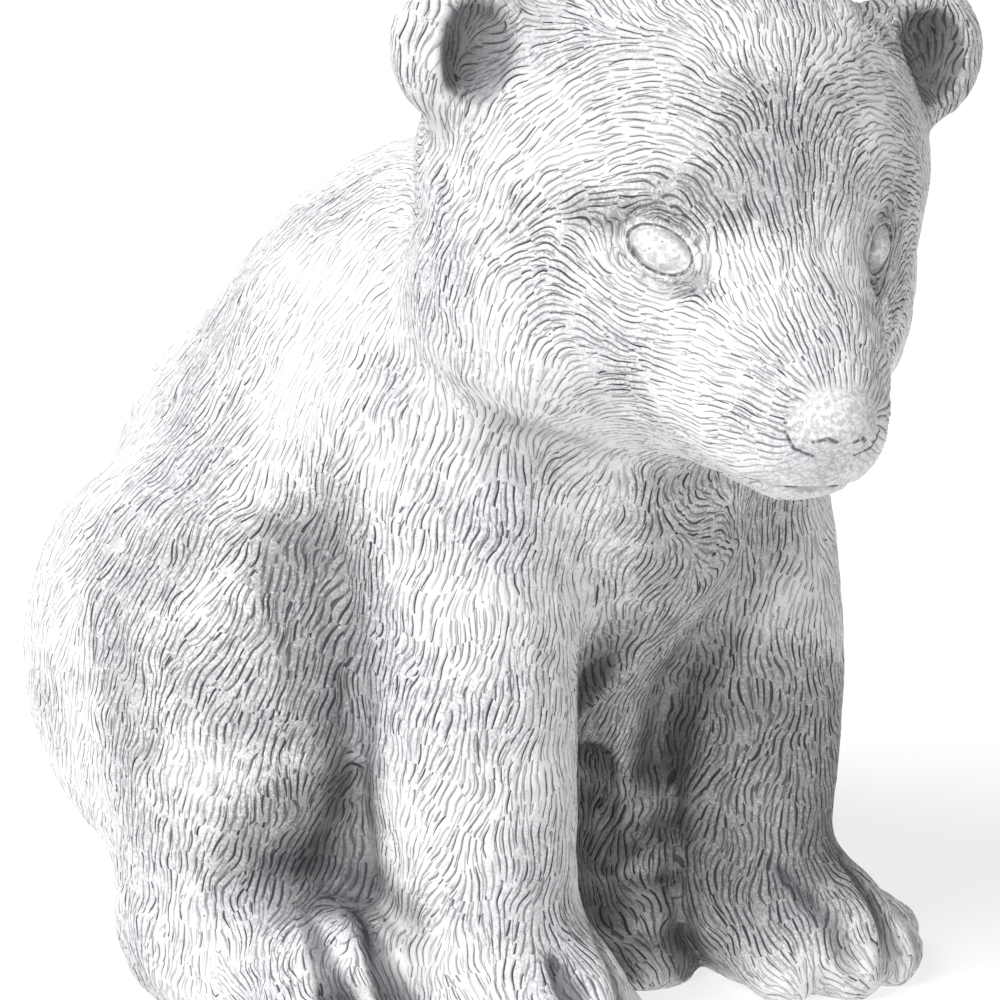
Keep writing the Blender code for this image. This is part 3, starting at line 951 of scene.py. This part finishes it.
class Wiring:
    """Adds nodes to one node tree and joins their sockets."""

    def __init__(self, tree: bpy.types.NodeTree) -> None:
        """Keeps the tree that nodes are added to."""
        self.tree = tree

    def node(self, kind: str, **settings: object) -> bpy.types.Node:
        """A new node of this kind with these settings."""
        node = self.tree.nodes.new(kind)
        for name, value in settings.items():
            setattr(node, name, value)
        return node

    def put(self, value: object, socket: bpy.types.NodeSocket) -> None:
        """Joins a socket to this one, or sets a plain value on it."""
        if isinstance(value, bpy.types.NodeSocket):
            self.tree.links.new(value, socket)
        else:
            socket.default_value = value

    def math(self, operation: str, *values: object, clamp: bool = False) -> bpy.types.NodeSocket:
        """Result of a math node."""
        node = self.node("ShaderNodeMath", operation=operation, use_clamp=clamp)
        for socket, value in zip(node.inputs, values):
            self.put(value, socket)
        return node.outputs[0]

    def vector(self, operation: str, *values: object) -> bpy.types.NodeSocket:
        """Vector result of a vector math node; a number among the values is its scale."""
        node = self.node("ShaderNodeVectorMath", operation=operation)
        slots = iter(node.inputs)
        for value in values:
            if isinstance(value, (float, int)) or getattr(value, "type", "") == "VALUE":
                self.put(value, node.inputs["Scale"])
            else:
                self.put(value, next(slots))
        return node.outputs[0]

    def dot(self, first: object, second: object) -> bpy.types.NodeSocket:
        """Dot product."""
        node = self.node("ShaderNodeVectorMath", operation="DOT_PRODUCT")
        self.put(first, node.inputs[0])
        self.put(second, node.inputs[1])
        return node.outputs["Value"]

    def all_axes(self, value: bpy.types.NodeSocket) -> bpy.types.NodeSocket:
        """Vector with this number on each axis."""
        node = self.node("ShaderNodeCombineXYZ")
        for socket in node.inputs:
            self.put(value, socket)
        return node.outputs[0]

    def noise(self, place: object, scale: float, detail: float = 0.0) -> bpy.types.NodeSocket:
        """Factor of a noise texture, 0 to 1 round 0.5."""
        node = self.node("ShaderNodeTexNoise")
        self.put(place, node.inputs["Vector"])
        self.put(scale, node.inputs["Scale"])
        self.put(detail, node.inputs["Detail"])
        return node.outputs[0]

    def times(self, *values: object, clamp: bool = False) -> bpy.types.NodeSocket:
        """Product of two values."""
        return self.math("MULTIPLY", *values, clamp=clamp)

    def group(self, tree: bpy.types.NodeTree, **given: object) -> bpy.types.bpy_prop_collection:
        """Outputs of a group node whose inputs are given by name, with _ for a space."""
        node = self.node("ShaderNodeGroup", node_tree=tree)
        for name, value in given.items():
            self.put(value, node.inputs[name.replace("_", " ")])
        return node.outputs

    def ramp(
        self, value: object, start: float, end: float, low: object = 0.0, high: object = 1.0
    ) -> bpy.types.NodeSocket:
        """Value taken smoothly from start..end to low..high."""
        node = self.node("ShaderNodeMapRange", interpolation_type="SMOOTHSTEP")
        for socket, given in zip(node.inputs, (value, start, end, low, high)):
            self.put(given, socket)
        return node.outputs[0]

    def mix(self, share: object, first: object, second: object) -> bpy.types.NodeSocket:
        """Colour of a mix node."""
        node = self.node("ShaderNodeMix", data_type="RGBA")
        self.put(share, node.inputs["Factor"])
        self.put(first, node.inputs[6])
        self.put(second, node.inputs[7])
        return node.outputs[2]

    def attribute(self, name: str, output: str) -> bpy.types.NodeSocket:
        """Output of the piece's own attribute."""
        return self.node("ShaderNodeAttribute", attribute_name=name).outputs[output]


def new_group(
    name: str, vectors: Sequence[str], numbers: Sequence[str], results: Sequence[str]
) -> tuple[bpy.types.NodeTree, Wiring, object, object]:
    """Empty node group.

    Args:
        name: the group's name.
        vectors: names of its vector inputs.
        numbers: names of its number inputs.
        results: names of its number outputs.

    Returns:
        The group, its wiring, the given sockets and the sockets of its results.
    """
    group = bpy.data.node_groups.new(name, "ShaderNodeTree")
    for way, kind, names in (
        ("INPUT", "NodeSocketVector", vectors),
        ("INPUT", "NodeSocketFloat", numbers),
        ("OUTPUT", "NodeSocketFloat", results),
    ):
        for label in names:
            group.interface.new_socket(label, in_out=way, socket_type=kind)
    wire = Wiring(group)
    given = wire.node("NodeGroupInput").outputs
    return group, wire, given, wire.node("NodeGroupOutput").inputs


def strokes_group(strokes: Strokes) -> bpy.types.ShaderNodeTree:
    """Node group of the carved strokes, with the same sums as Strokes works out for the mesh.

    Args:
        strokes: their sizes.

    Returns:
        A group with inputs Rest, Way, Across and On Head, and outputs Apart, Taper and Chance.
    """
    group, wire, given, result = new_group(
        "carved_strokes", ("Rest", "Way", "Across"), ("On Head",), ("Apart", "Taper", "Chance")
    )
    cells = wire.node("ShaderNodeTexVoronoi", feature="F1")
    wire.put(wire.vector("SCALE", given["Rest"], 1 / strokes.patch), cells.inputs["Vector"])
    wire.put(1.0, cells.inputs["Scale"])
    centre = cells.outputs["Position"]
    offset = wire.vector("SUBTRACT", given["Rest"], wire.vector("SCALE", centre, strokes.patch))
    closer = 1 / strokes.head_pitch - 1 / strokes.pitch
    density = wire.math("MULTIPLY_ADD", given["On Head"], closer, 1 / strokes.pitch)
    phase = wire.times(wire.dot(offset, given["Across"]), density)
    sway = wire.noise(given["Rest"], 1 / strokes.sway_cell)
    phase = wire.math("ADD", phase, wire.math("MULTIPLY_ADD", sway, 2 * strokes.sway, -strokes.sway))
    line = wire.math("ROUND", phase)
    stepped = wire.times(line, strokes.line_step)
    shift = wire.noise(wire.vector("ADD", centre, wire.all_axes(stepped)), 1.0)
    shift = wire.math("MULTIPLY_ADD", shift, 2 * strokes.stagger, -strokes.stagger)
    along = wire.math("ADD", wire.dot(offset, given["Way"]), shift)
    along = wire.times(along, 2 / strokes.length)
    drawn = wire.all_axes(wire.times(line, strokes.chance_step))
    wire.put(wire.noise(wire.vector("ADD", centre, drawn), strokes.chance_scale), result["Chance"])
    wire.put(wire.math("ABSOLUTE", wire.math("SUBTRACT", phase, line)), result["Apart"])
    taper = wire.math("SUBTRACT", 1.0, wire.times(along, along), clamp=True)
    wire.put(taper, result["Taper"])
    return group


def oval_group(outer_lid: float, lid_reach: Sequence[float]) -> bpy.types.ShaderNodeTree:
    """Node group that marks the lid lines round an eye.

    With o the offset from the centre and r = |(o.across, o.up)|, the inner line lies where r is 1
    and the outer one where r is outer_lid, both near the centre only.

    Args:
        outer_lid: the outer line's radius as a multiple of the inner one's.
        lid_reach: distances in metres at which the lines begin to fade and are gone.

    Returns:
        A group with inputs Place, Centre, Across and Up (unit ways over the radii), and output Line.
    """
    places = ("Place", "Centre", "Across", "Up")
    group, wire, given, result = new_group("lid_lines", places, (), ("Line",))
    offset = wire.vector("SUBTRACT", given["Place"], given["Centre"])
    first = wire.dot(offset, given["Across"])
    second = wire.dot(offset, given["Up"])
    squared = wire.math("MULTIPLY_ADD", first, first, wire.times(second, second))
    radius = wire.math("SQRT", squared)
    inner = wire.ramp(wire.math("ABSOLUTE", wire.math("SUBTRACT", radius, 1.0)), 0.02, 0.08, 1.0, 0.0)
    beyond = wire.math("ABSOLUTE", wire.math("SUBTRACT", radius, outer_lid))
    outer = wire.ramp(beyond, 0.01, 0.09, 0.4, 0.0)
    near = wire.ramp(wire.dot(offset, offset), lid_reach[0] ** 2, lid_reach[1] ** 2, 1.0, 0.0)
    wire.put(wire.times(wire.math("MAXIMUM", inner, outer), near), result["Line"])
    return group


def crease_group() -> bpy.types.ShaderNodeTree:
    """Node group that marks a fine carved line between two places.

    Returns:
        A group with inputs Place, Start, Along (end less start) and Reach, and output Line, which
        fades from 1 on the line to 0 at the reach.
    """
    places = ("Place", "Start", "Along")
    group, wire, given, result = new_group("fine_crease", places, ("Reach",), ("Line",))
    offset = wire.vector("SUBTRACT", given["Place"], given["Start"])
    full = wire.dot(given["Along"], given["Along"])
    share = wire.math("DIVIDE", wire.dot(offset, given["Along"]), full, clamp=True)
    gap = wire.vector("SUBTRACT", offset, wire.vector("SCALE", given["Along"], share))
    far = wire.math("DIVIDE", wire.math("SQRT", wire.dot(gap, gap)), given["Reach"])
    wire.put(wire.ramp(far, 0.25, 1.0, 1.0, 0.0), result["Line"])
    return group


@dataclass(frozen=True)
class FaceLines:
    """Fine carved lines of the face: lids, nostrils, the folds beside the nose pad and the mouth.

    Places are lateral, forward and up in shares of height, for the left side. Reaches are in metres.
    """

    form: CubForm
    placement: Placement
    lid_radii: tuple = (0.0288, 0.0178)
    outer_lid: float = 1.33
    lid_reach: tuple = (0.015, 0.020)
    nostril: tuple = ((0.009, 0.327, -0.143), (0.017, 0.324, -0.139), (0.026, 0.316, -0.145))
    pad_fold: tuple = ((0.044, 0.302, -0.136), (0.036, 0.304, -0.150), (0.021, 0.311, -0.159))
    mouth: tuple = ((0.0, 0.290, -0.187), (0.025, 0.280, -0.187), (0.050, 0.245, -0.184))

    def _on_surface(self, path: Sequence[Sequence[float]], side: Side) -> Array:
        """Path in metres, each of its places brought onto the surface."""
        local = np.array(path) * np.array([side.value, 1, 1])
        world = np.array([self.form.head.world(place) for place in local])
        return self.placement.metres(self.form.settled(world, 4, 0.02))

    def lids(self, wire: Wiring, place: bpy.types.NodeSocket) -> bpy.types.NodeSocket:
        """Mask of the lid lines of both eyes."""
        head = self.form.head
        tree = oval_group(self.outer_lid, self.lid_reach)
        total: object = 0.0
        for side in Side:
            centre, turn, _ = head.eye_frame(side)
            middle = tuple(self.placement.metres(head.world(centre)))
            across, up = (
                tuple(head.world_way(way) / (radius * self.placement.scale))
                for way, radius in zip((turn[0], turn[2]), self.lid_radii)
            )
            lines = wire.group(tree, Place=place, Centre=middle, Across=across, Up=up)
            total = wire.math("MAXIMUM", total, lines["Line"])
        return total

    def creases(self, wire: Wiring, place: bpy.types.NodeSocket) -> bpy.types.NodeSocket:
        """Mask of the nostrils, pad folds and mouth."""
        tree = crease_group()
        total: object = 0.0
        lines = ((self.nostril, 0.0010), (self.pad_fold, 0.0007), (self.mouth, 0.0008))
        for side, (path, reach) in itertools.product(Side, lines):
            places = self._on_surface(path, side)
            for start, end in zip(places[:-1], places[1:]):
                along = tuple(end - start)
                crease = wire.group(tree, Place=place, Start=tuple(start), Along=along, Reach=reach)
                total = wire.math("MAXIMUM", total, crease["Line"])
        return total


def plaster_group(hole_scale: float, sparse_scale: float, grain_scale: float) -> bpy.types.ShaderNodeTree:
    """Node group of fine casting grain and pinholes.

    Args:
        hole_scale: places for a pinhole in a metre.
        sparse_scale: scale of the noise that leaves most of them out.
        grain_scale: scale of the grain.

    Returns:
        A group with input Place in metres, and outputs Grain and Pinholes, both 0 to 1.
    """
    group, wire, given, result = new_group("plaster_grain", ("Place",), (), ("Grain", "Pinholes"))
    place = given["Place"]
    cells = wire.node("ShaderNodeTexVoronoi", feature="F1")
    wire.put(place, cells.inputs["Vector"])
    wire.put(hole_scale, cells.inputs["Scale"])
    holes = wire.ramp(cells.outputs["Distance"], 0.10, 0.22, 1.0, 0.0)
    sparse = wire.ramp(wire.noise(place, sparse_scale, 2.0), 0.55, 0.68)
    wire.put(wire.noise(place, grain_scale, 3.0), result["Grain"])
    wire.put(wire.times(holes, sparse), result["Pinholes"])
    return group


@dataclass(frozen=True)
class CastStone:
    """White-washed cast stone whose dark wash stays in the carved strokes and the recesses, with painted
    shade in the recesses, the creases and some wash patches.
    """

    coat: Coat
    placement: Placement
    wash: tuple = (0.90, 0.895, 0.91, 1.0)
    thin_wash: tuple = (0.76, 0.755, 0.78, 1.0)
    dark: tuple = (0.060, 0.060, 0.068, 1.0)
    pale_dark: tuple = (0.42, 0.42, 0.44, 1.0)
    earth: tuple = (0.66, 0.62, 0.54, 1.0)
    grime_and_shade: tuple = (0.14, 0.14, 0.145, 1.0)
    fine_shift: tuple = (0.31, 0.17, 0.23)
    fine_density: float = 3.0
    cloud_scale: float = 22.0
    earth_scale: float = 35.0
    mottle_scale: float = 170.0
    speckle_scale: float = 700.0
    plaster_scales: tuple = (420.0, 90.0, 1400.0)
    roughness: float = 0.92
    specular: float = 0.25
    bump_strength: float = 0.7
    bump_distance: float = 0.0007

    def material(self) -> bpy.types.Material:
        """The finished material."""
        material = bpy.data.materials.new("cast_stone")
        material.use_nodes = True
        wire = Wiring(material.node_tree)
        shader = material.node_tree.nodes["Principled BSDF"]
        rest = wire.attribute("rest", "Vector")
        bare = wire.attribute("bare", "Fac")
        recess_shade_and_dirt = wire.attribute("recess_shade_and_dirt", "Fac")
        crease = wire.attribute("crease", "Fac")
        # The wash attribute: wash patches, some of them painted shade in the niche, low on the left foreleg
        # and between the fur folds.
        patch = wire.attribute("wash", "Fac")
        furred = wire.math("SUBTRACT", 1.0, bare)

        tree = strokes_group(self.coat.strokes)
        lie = {"Way": wire.attribute("way", "Vector"), "Across": wire.attribute("across", "Vector")}
        strokes = wire.group(tree, Rest=rest, On_Head=wire.attribute("on_head", "Fac"), **lie)
        chance = wire.ramp(strokes["Chance"], 0.32, 0.66)
        apart = strokes["Apart"]
        taper = strokes["Taper"]

        plaster = wire.group(plaster_group(*self.plaster_scales), Place=rest)
        grain = plaster["Grain"]
        pinholes = plaster["Pinholes"]

        # Where the wash gathers, with painted shade from the recesses and the wash patches.
        cloud = wire.noise(rest, self.cloud_scale, 3.0)
        gathered_wash_and_shade = wire.math("ADD", wire.times(recess_shade_and_dirt, 0.15), wire.times(patch, 0.28))
        stain_and_shade = wire.ramp(wire.math("ADD", cloud, gathered_wash_and_shade), 0.42, 0.72)
        speckle = wire.noise(rest, self.speckle_scale, 2.0)

        # The dark strokes, and finer hair between them.
        # Strokes wider and darker where the wash patches and stain lie, which carry painted shade too.
        width = wire.math("MULTIPLY_ADD", patch, 0.10, wire.math("MULTIPLY_ADD", stain_and_shade, 0.10, 0.06))
        width = wire.times(taper, width)
        clear = wire.math("SUBTRACT", apart, wire.times(width, 0.5))
        line = wire.ramp(clear, 0.0, 0.075, 1.0, 0.0)
        line = wire.times(line, wire.ramp(taper, 0.0, 0.35))
        line = wire.times(line, wire.ramp(cloud, 0.29, 0.40, 0.25, 1.0))
        line = wire.times(line, furred)
        inked = wire.math("MULTIPLY_ADD", patch, 0.5, wire.math("MULTIPLY_ADD", stain_and_shade, 0.6, 0.80))
        inked = wire.times(inked, wire.math("MULTIPLY_ADD", chance, 0.45, 0.55), clamp=True)
        ink = wire.mix(inked, self.pale_dark, self.dark)
        line = wire.times(line, wire.math("MULTIPLY_ADD", chance, 0.4, 0.6))
        shifted = wire.vector("ADD", rest, self.fine_shift)
        fine = wire.group(tree, Rest=shifted, On_Head=self.fine_density, **lie)
        hair = wire.ramp(fine["Apart"], 0.05, 0.19, 1.0, 0.0)
        hair = wire.times(hair, wire.ramp(fine["Taper"], 0.15, 0.6))
        hair = wire.times(hair, wire.ramp(fine["Chance"], 0.44, 0.60))
        hair = wire.times(hair, wire.times(furred, 0.60))
        line = wire.math("MAXIMUM", line, hair)
        mottle = wire.ramp(wire.noise(rest, self.mottle_scale, 4.0), 0.50, 0.72)

        # The stone's colour under wash, grime, painted shade, earth and strokes.
        base = wire.mix(wire.ramp(cloud, 0.35, 0.7), self.wash, self.thin_wash)
        # Smudges of pale dark over the stain, partly painted shade.
        smudge_and_shade = wire.times(stain_and_shade, wire.ramp(speckle, 0.38, 0.62))
        base = wire.mix(wire.times(smudge_and_shade, 0.45), base, self.pale_dark)
        base = wire.mix(wire.times(mottle, 0.22), base, self.pale_dark)
        spread = wire.math("MULTIPLY_ADD", mottle, 0.5, wire.math("ADD", speckle, stain_and_shade))
        spread = wire.math("MULTIPLY_ADD", wire.math("SUBTRACT", grain, 0.5), 2.2, spread)
        grimy_and_shaded = wire.times(patch, wire.ramp(spread, 0.35, 1.5))
        # Grime over the wash patches, which is painted shade in the niche and low on the left foreleg.
        base = wire.mix(wire.times(grimy_and_shaded, 0.66), base, self.grime_and_shade)
        sheltered = wire.math("MULTIPLY_ADD", patch, 0.35, recess_shade_and_dirt, clamp=True)
        earth_cloud = wire.ramp(wire.noise(rest, self.earth_scale, 2.0), 0.45, 0.7)
        earthy = wire.times(sheltered, earth_cloud)
        base = wire.mix(wire.times(earthy, 0.5), base, self.earth)
        grit = wire.math("MULTIPLY_ADD", stain_and_shade, 0.30, 0.06)
        gritty = wire.times(wire.ramp(grain, 0.52, 0.70), grit)
        base = wire.mix(gritty, base, self.dark)
        base = wire.mix(line, base, ink)
        # Painted shade: recesses darkened towards the dark colour, like ambient occlusion, over the dark
        # wash that gathers there.
        base = wire.mix(wire.times(wire.ramp(recess_shade_and_dirt, 0.10, 0.75), 0.72), base, self.dark)
        # Painted shade and dark wash in narrow creases and in the valleys between the toes.
        base = wire.mix(wire.times(wire.ramp(crease, 0.15, 0.8), 0.75), base, self.dark)
        base = wire.mix(wire.times(pinholes, 0.6), base, self.dark)
        bare_smudge = wire.times(wire.times(bare, 0.70), wire.ramp(speckle, 0.35, 0.70))
        base = wire.mix(bare_smudge, base, self.pale_dark)
        face = FaceLines(self.coat.form, self.placement)
        marks = wire.math("MAXIMUM", face.lids(wire, rest), face.creases(wire, rest))
        broken = wire.times(marks, wire.ramp(speckle, 0.28, 0.55, 0.35, 0.85))
        base = wire.mix(broken, base, self.dark)
        wire.put(base, shader.inputs["Base Color"])

        rough = wire.math("MULTIPLY_ADD", grain, 0.08, self.roughness - 0.06, clamp=True)
        wire.put(rough, shader.inputs["Roughness"])
        shader.inputs["Specular IOR Level"].default_value = self.specular

        # Relief finer than the mesh.
        depth = wire.times(wire.ramp(apart, 0.02, 0.28, 1.0, 0.0), wire.math("SQRT", taper))
        relief = wire.times(wire.times(depth, furred), -1.0)
        relief = wire.math("MULTIPLY_ADD", hair, -0.55, relief)
        relief = wire.math("MULTIPLY_ADD", grain, 0.30, relief)
        relief = wire.math("MULTIPLY_ADD", mottle, -0.25, relief)
        relief = wire.math("MULTIPLY_ADD", pinholes, -0.35, relief)
        relief = wire.math("MULTIPLY_ADD", marks, -0.9, relief)
        bump = wire.node("ShaderNodeBump")
        wire.put(self.bump_strength, bump.inputs["Strength"])
        wire.put(self.bump_distance, bump.inputs["Distance"])
        wire.put(relief, bump.inputs["Height"])
        wire.put(bump.outputs["Normal"], shader.inputs["Normal"])
        return material


@dataclass(frozen=True)
class BearCub:
    """The cub as one piece of cast stone."""

    form: CubForm = CubForm()
    net: SurfaceNet = SurfaceNet()
    levels: int = 2
    most_triangles: int = 196000
    quick_levels: int = 1
    quick_triangles: int = 90000
    settle_steps: int = 3
    most_settle: float = 0.002
    base_band: float = 0.004
    recess_reach: float = 0.070
    crease_reach: float = 0.010
    valley_share: float = 0.9
    most_pull: float = 0.004

    def smooth_mesh(self) -> tuple[bpy.types.Mesh, Placement]:
        """Dense quads of the smooth form, in shares of height, and where they go in the frame."""
        vertices, quads = self.net.quads(self.form.distance)
        vertices = self.form.settled(vertices, self.settle_steps, self.most_settle)
        vertices[vertices[:, 2] < self.base_band, 2] = 0
        mesh = bpy.data.meshes.new("net")
        mesh.from_pydata(vertices.tolist(), [], quads.tolist())
        placement = Placement.on_solid(vertices, CAD_BOX)
        levels = self.levels
        return finished(mesh, "SUBSURF", levels=levels, render_levels=levels), placement

    def coat_attributes(
        self, rest: Array, normals: Array, coat: Coat, way: FurWay, placement: Placement
    ) -> dict:
        """What the coat and the stone need to know at each point.

        Args:
            rest: rows of points on the smooth form, in shares of height.
            normals: the outward normals there.
            coat: the fur's relief.
            way: the way the hair lies.
            placement: where the form goes in the frame.

        Returns:
            Arrays rest in metres, way, across, bare, flat, recess, crease, wash and on_head; the recess,
            crease and wash arrays also carry painted shade.
        """
        flat = fade(rest[:, 2], self.base_band, 0) * (normals[:, 2] < -0.5)
        # Occlusion-like masks from the distance a little way out along the normal: they paint shade in
        # recesses and creases, and also place wash and dirt.
        clear = self.form.distance(rest + normals * self.recess_reach) / self.recess_reach
        close = self.form.distance(rest + normals * self.crease_reach) / self.crease_reach
        lies = way(rest, normals)
        across = np.cross(normals, lies)
        swirl = length_of(way(rest + across * way.swirl_step, normals) - lies)
        return {
            "rest": placement.metres(rest),
            "way": lies,
            "across": across,
            "bare": np.maximum(coat.bare(rest), fade(swirl, *way.swirl_range)),
            "flat": flat,
            "recess_shade_and_dirt": np.clip(1 - clear, 0, 1),
            "crease": np.maximum(np.clip(1 - close, 0, 1), self.valley_share * coat.valleys(rest)),
            "wash": coat.wash(rest),
            "on_head": way.on_head(rest),
        }

    def build(self) -> bpy.types.Object:
        """The finished piece, in metres and at the origin."""
        coat = Coat(self.form)
        way = FurWay(self.form)
        mesh, placement = self.smooth_mesh()
        points, normals = read(mesh.vertices, "co"), read(mesh.vertices, "normal")
        pull = np.clip(self.form.distance(points), -self.most_pull, self.most_pull)
        points = points - normals * pull[:, None]
        points[points[:, 2] < self.base_band / 4, 2] = 0
        facts = self.coat_attributes(points, normals, coat, way, placement)
        relief = coat.height(facts)
        carved = facts["rest"] + normals * relief[:, None]
        carved[:, 2] = np.maximum(carved[:, 2], 0)
        carved[facts["rest"][:, 2] <= 0, 2] = 0
        write(mesh.vertices, "co", carved)
        log.info("carved %d vertices", len(carved))

        mesh = finished(mesh, "TRIANGULATE")
        most = self.most_triangles
        mesh = finished(mesh, "DECIMATE", ratio=min(1.0, most / len(mesh.polygons)))
        final = read(mesh.vertices, "co")
        final[final[:, 2] < self.base_band * UNIT / 8, 2] = 0
        write(mesh.vertices, "co", final)
        rest = placement.shares(final)
        for _ in range(2):
            around = self.form.slope(rest)
            rest = rest - around * self.form.distance(rest)[:, None]
        facts = self.coat_attributes(rest, around, coat, way, placement)
        for name in ("rest", "way", "across"):
            layer = mesh.attributes.new(name, "FLOAT_VECTOR", "POINT")
            layer.data.foreach_set("vector", facts[name].astype(np.float32).ravel())
        for name in ("bare", "recess_shade_and_dirt", "crease", "wash", "on_head"):
            layer = mesh.attributes.new(name, "FLOAT", "POINT")
            layer.data.foreach_set("value", facts[name].astype(np.float32))
        mesh.shade_smooth()
        mesh.materials.append(CastStone(coat, placement).material())
        cub = bpy.data.objects.new("bear_cub_carved", mesh)
        bpy.context.scene.collection.objects.link(cub)
        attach(cub, "root")
        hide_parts("bear_cub")
        log.info("bear_cub_carved: %d triangles", len(mesh.polygons))
        return cub


def read(items: bpy.types.bpy_prop_collection, name: str) -> Array:
    """One three-number property of every item, as rows."""
    values = np.empty(len(items) * 3, np.float32)
    items.foreach_get(name, values)
    return values.reshape(-1, 3).astype(np.float64)


def write(items: bpy.types.bpy_prop_collection, name: str, values: Array) -> None:
    """Sets one three-number property of every item from rows."""
    items.foreach_set(name, values.astype(np.float32).ravel())


def finished(mesh: bpy.types.Mesh, kind: str, **settings: object) -> bpy.types.Mesh:
    """Copy of a mesh with one modifier applied.

    Args:
        mesh: the mesh, which is removed.
        kind: the modifier's type.
        settings: its settings.

    Returns:
        The new mesh.
    """
    holder = bpy.data.objects.new("holder", mesh)
    bpy.context.scene.collection.objects.link(holder)
    modifier = holder.modifiers.new("finish", kind)
    for name, value in settings.items():
        setattr(modifier, name, value)
    graph = bpy.context.evaluated_depsgraph_get()
    result = bpy.data.meshes.new_from_object(holder.evaluated_get(graph))
    bpy.data.objects.remove(holder)
    bpy.data.meshes.remove(mesh)
    return result


@dataclass(frozen=True)
class Studio:
    """White floor and world, a broad key light from the upper left and the camera."""

    azimuth: float = -42.0
    elevation: float = 13.0
    distance: float = 1.6633
    target: tuple = (-0.00018, 0.02462, 0.15893)
    lens: float = 182.25
    sensor: float = 36.0
    floor_size: float = 16.0
    floor_colour: tuple = (0.36, 0.36, 0.36, 1.0)
    floor_glow: float = 0.72
    world_colour: tuple = (1.0, 1.0, 1.0, 1.0)
    world_strength: float = 0.32
    key_azimuth: float = -84.0
    key_elevation: float = 44.0
    key_spread: float = 36.0
    key_strength: float = 3.3

    def back(self, azimuth: float, elevation: float) -> Vector:
        """Unit way from the target to a place at this azimuth and elevation, in degrees."""
        a, e = math.radians(azimuth), math.radians(elevation)
        return Vector((math.sin(a) * math.cos(e), -math.cos(a) * math.cos(e), math.sin(e)))

    def aimed(self, item: bpy.types.Object, way: Vector, distance: float) -> None:
        """Puts a camera or light at this way and distance from the target and turns it there."""
        item.location = Vector(self.target) + way * distance
        item.rotation_euler = way.to_track_quat("Z", "Y").to_euler()
        bpy.context.scene.collection.objects.link(item)

    def floor(self) -> None:
        """Plain pale floor."""
        half = self.floor_size / 2
        mesh = bpy.data.meshes.new("floor")
        corners = [(-half, -half, 0), (half, -half, 0), (half, half, 0), (-half, half, 0)]
        mesh.from_pydata(corners, [], [(0, 1, 2, 3)])
        material = bpy.data.materials.new("floor")
        material.use_nodes = True
        shader = material.node_tree.nodes["Principled BSDF"]
        shader.inputs["Base Color"].default_value = self.floor_colour
        shader.inputs["Roughness"].default_value = 1.0
        shader.inputs["Specular IOR Level"].default_value = 0.0
        shader.inputs["Emission Color"].default_value = self.world_colour
        shader.inputs["Emission Strength"].default_value = self.floor_glow
        mesh.materials.append(material)
        floor = bpy.data.objects.new("floor", mesh)
        bpy.context.scene.collection.objects.link(floor)

    def build(self) -> None:
        """Adds floor, world, light and camera."""
        self.floor()
        world = bpy.data.worlds.new("studio")
        world.use_nodes = True
        background = world.node_tree.nodes["Background"]
        background.inputs["Color"].default_value = self.world_colour
        background.inputs["Strength"].default_value = self.world_strength
        bpy.context.scene.world = world
        key = bpy.data.lights.new("key", "SUN")
        key.angle = math.radians(self.key_spread)
        key.energy = self.key_strength
        light = bpy.data.objects.new("key", key)
        self.aimed(light, self.back(self.key_azimuth, self.key_elevation), self.distance)
        lens = bpy.data.cameras.new("camera")
        lens.lens = self.lens
        lens.sensor_width = self.sensor
        camera = bpy.data.objects.new("camera", lens)
        self.aimed(camera, self.back(self.azimuth, self.elevation), self.distance)
        bpy.context.scene.camera = camera
        bpy.context.scene.view_settings.view_transform = "Standard"
        log.info("studio: floor, world, key light and camera")


def main() -> None:
    """Builds the cub and the studio."""
    logging.basicConfig(level=logging.INFO, format="%(message)s")
    BearCub().build()
    Studio().build()


if __name__ == "__main__":
    main()
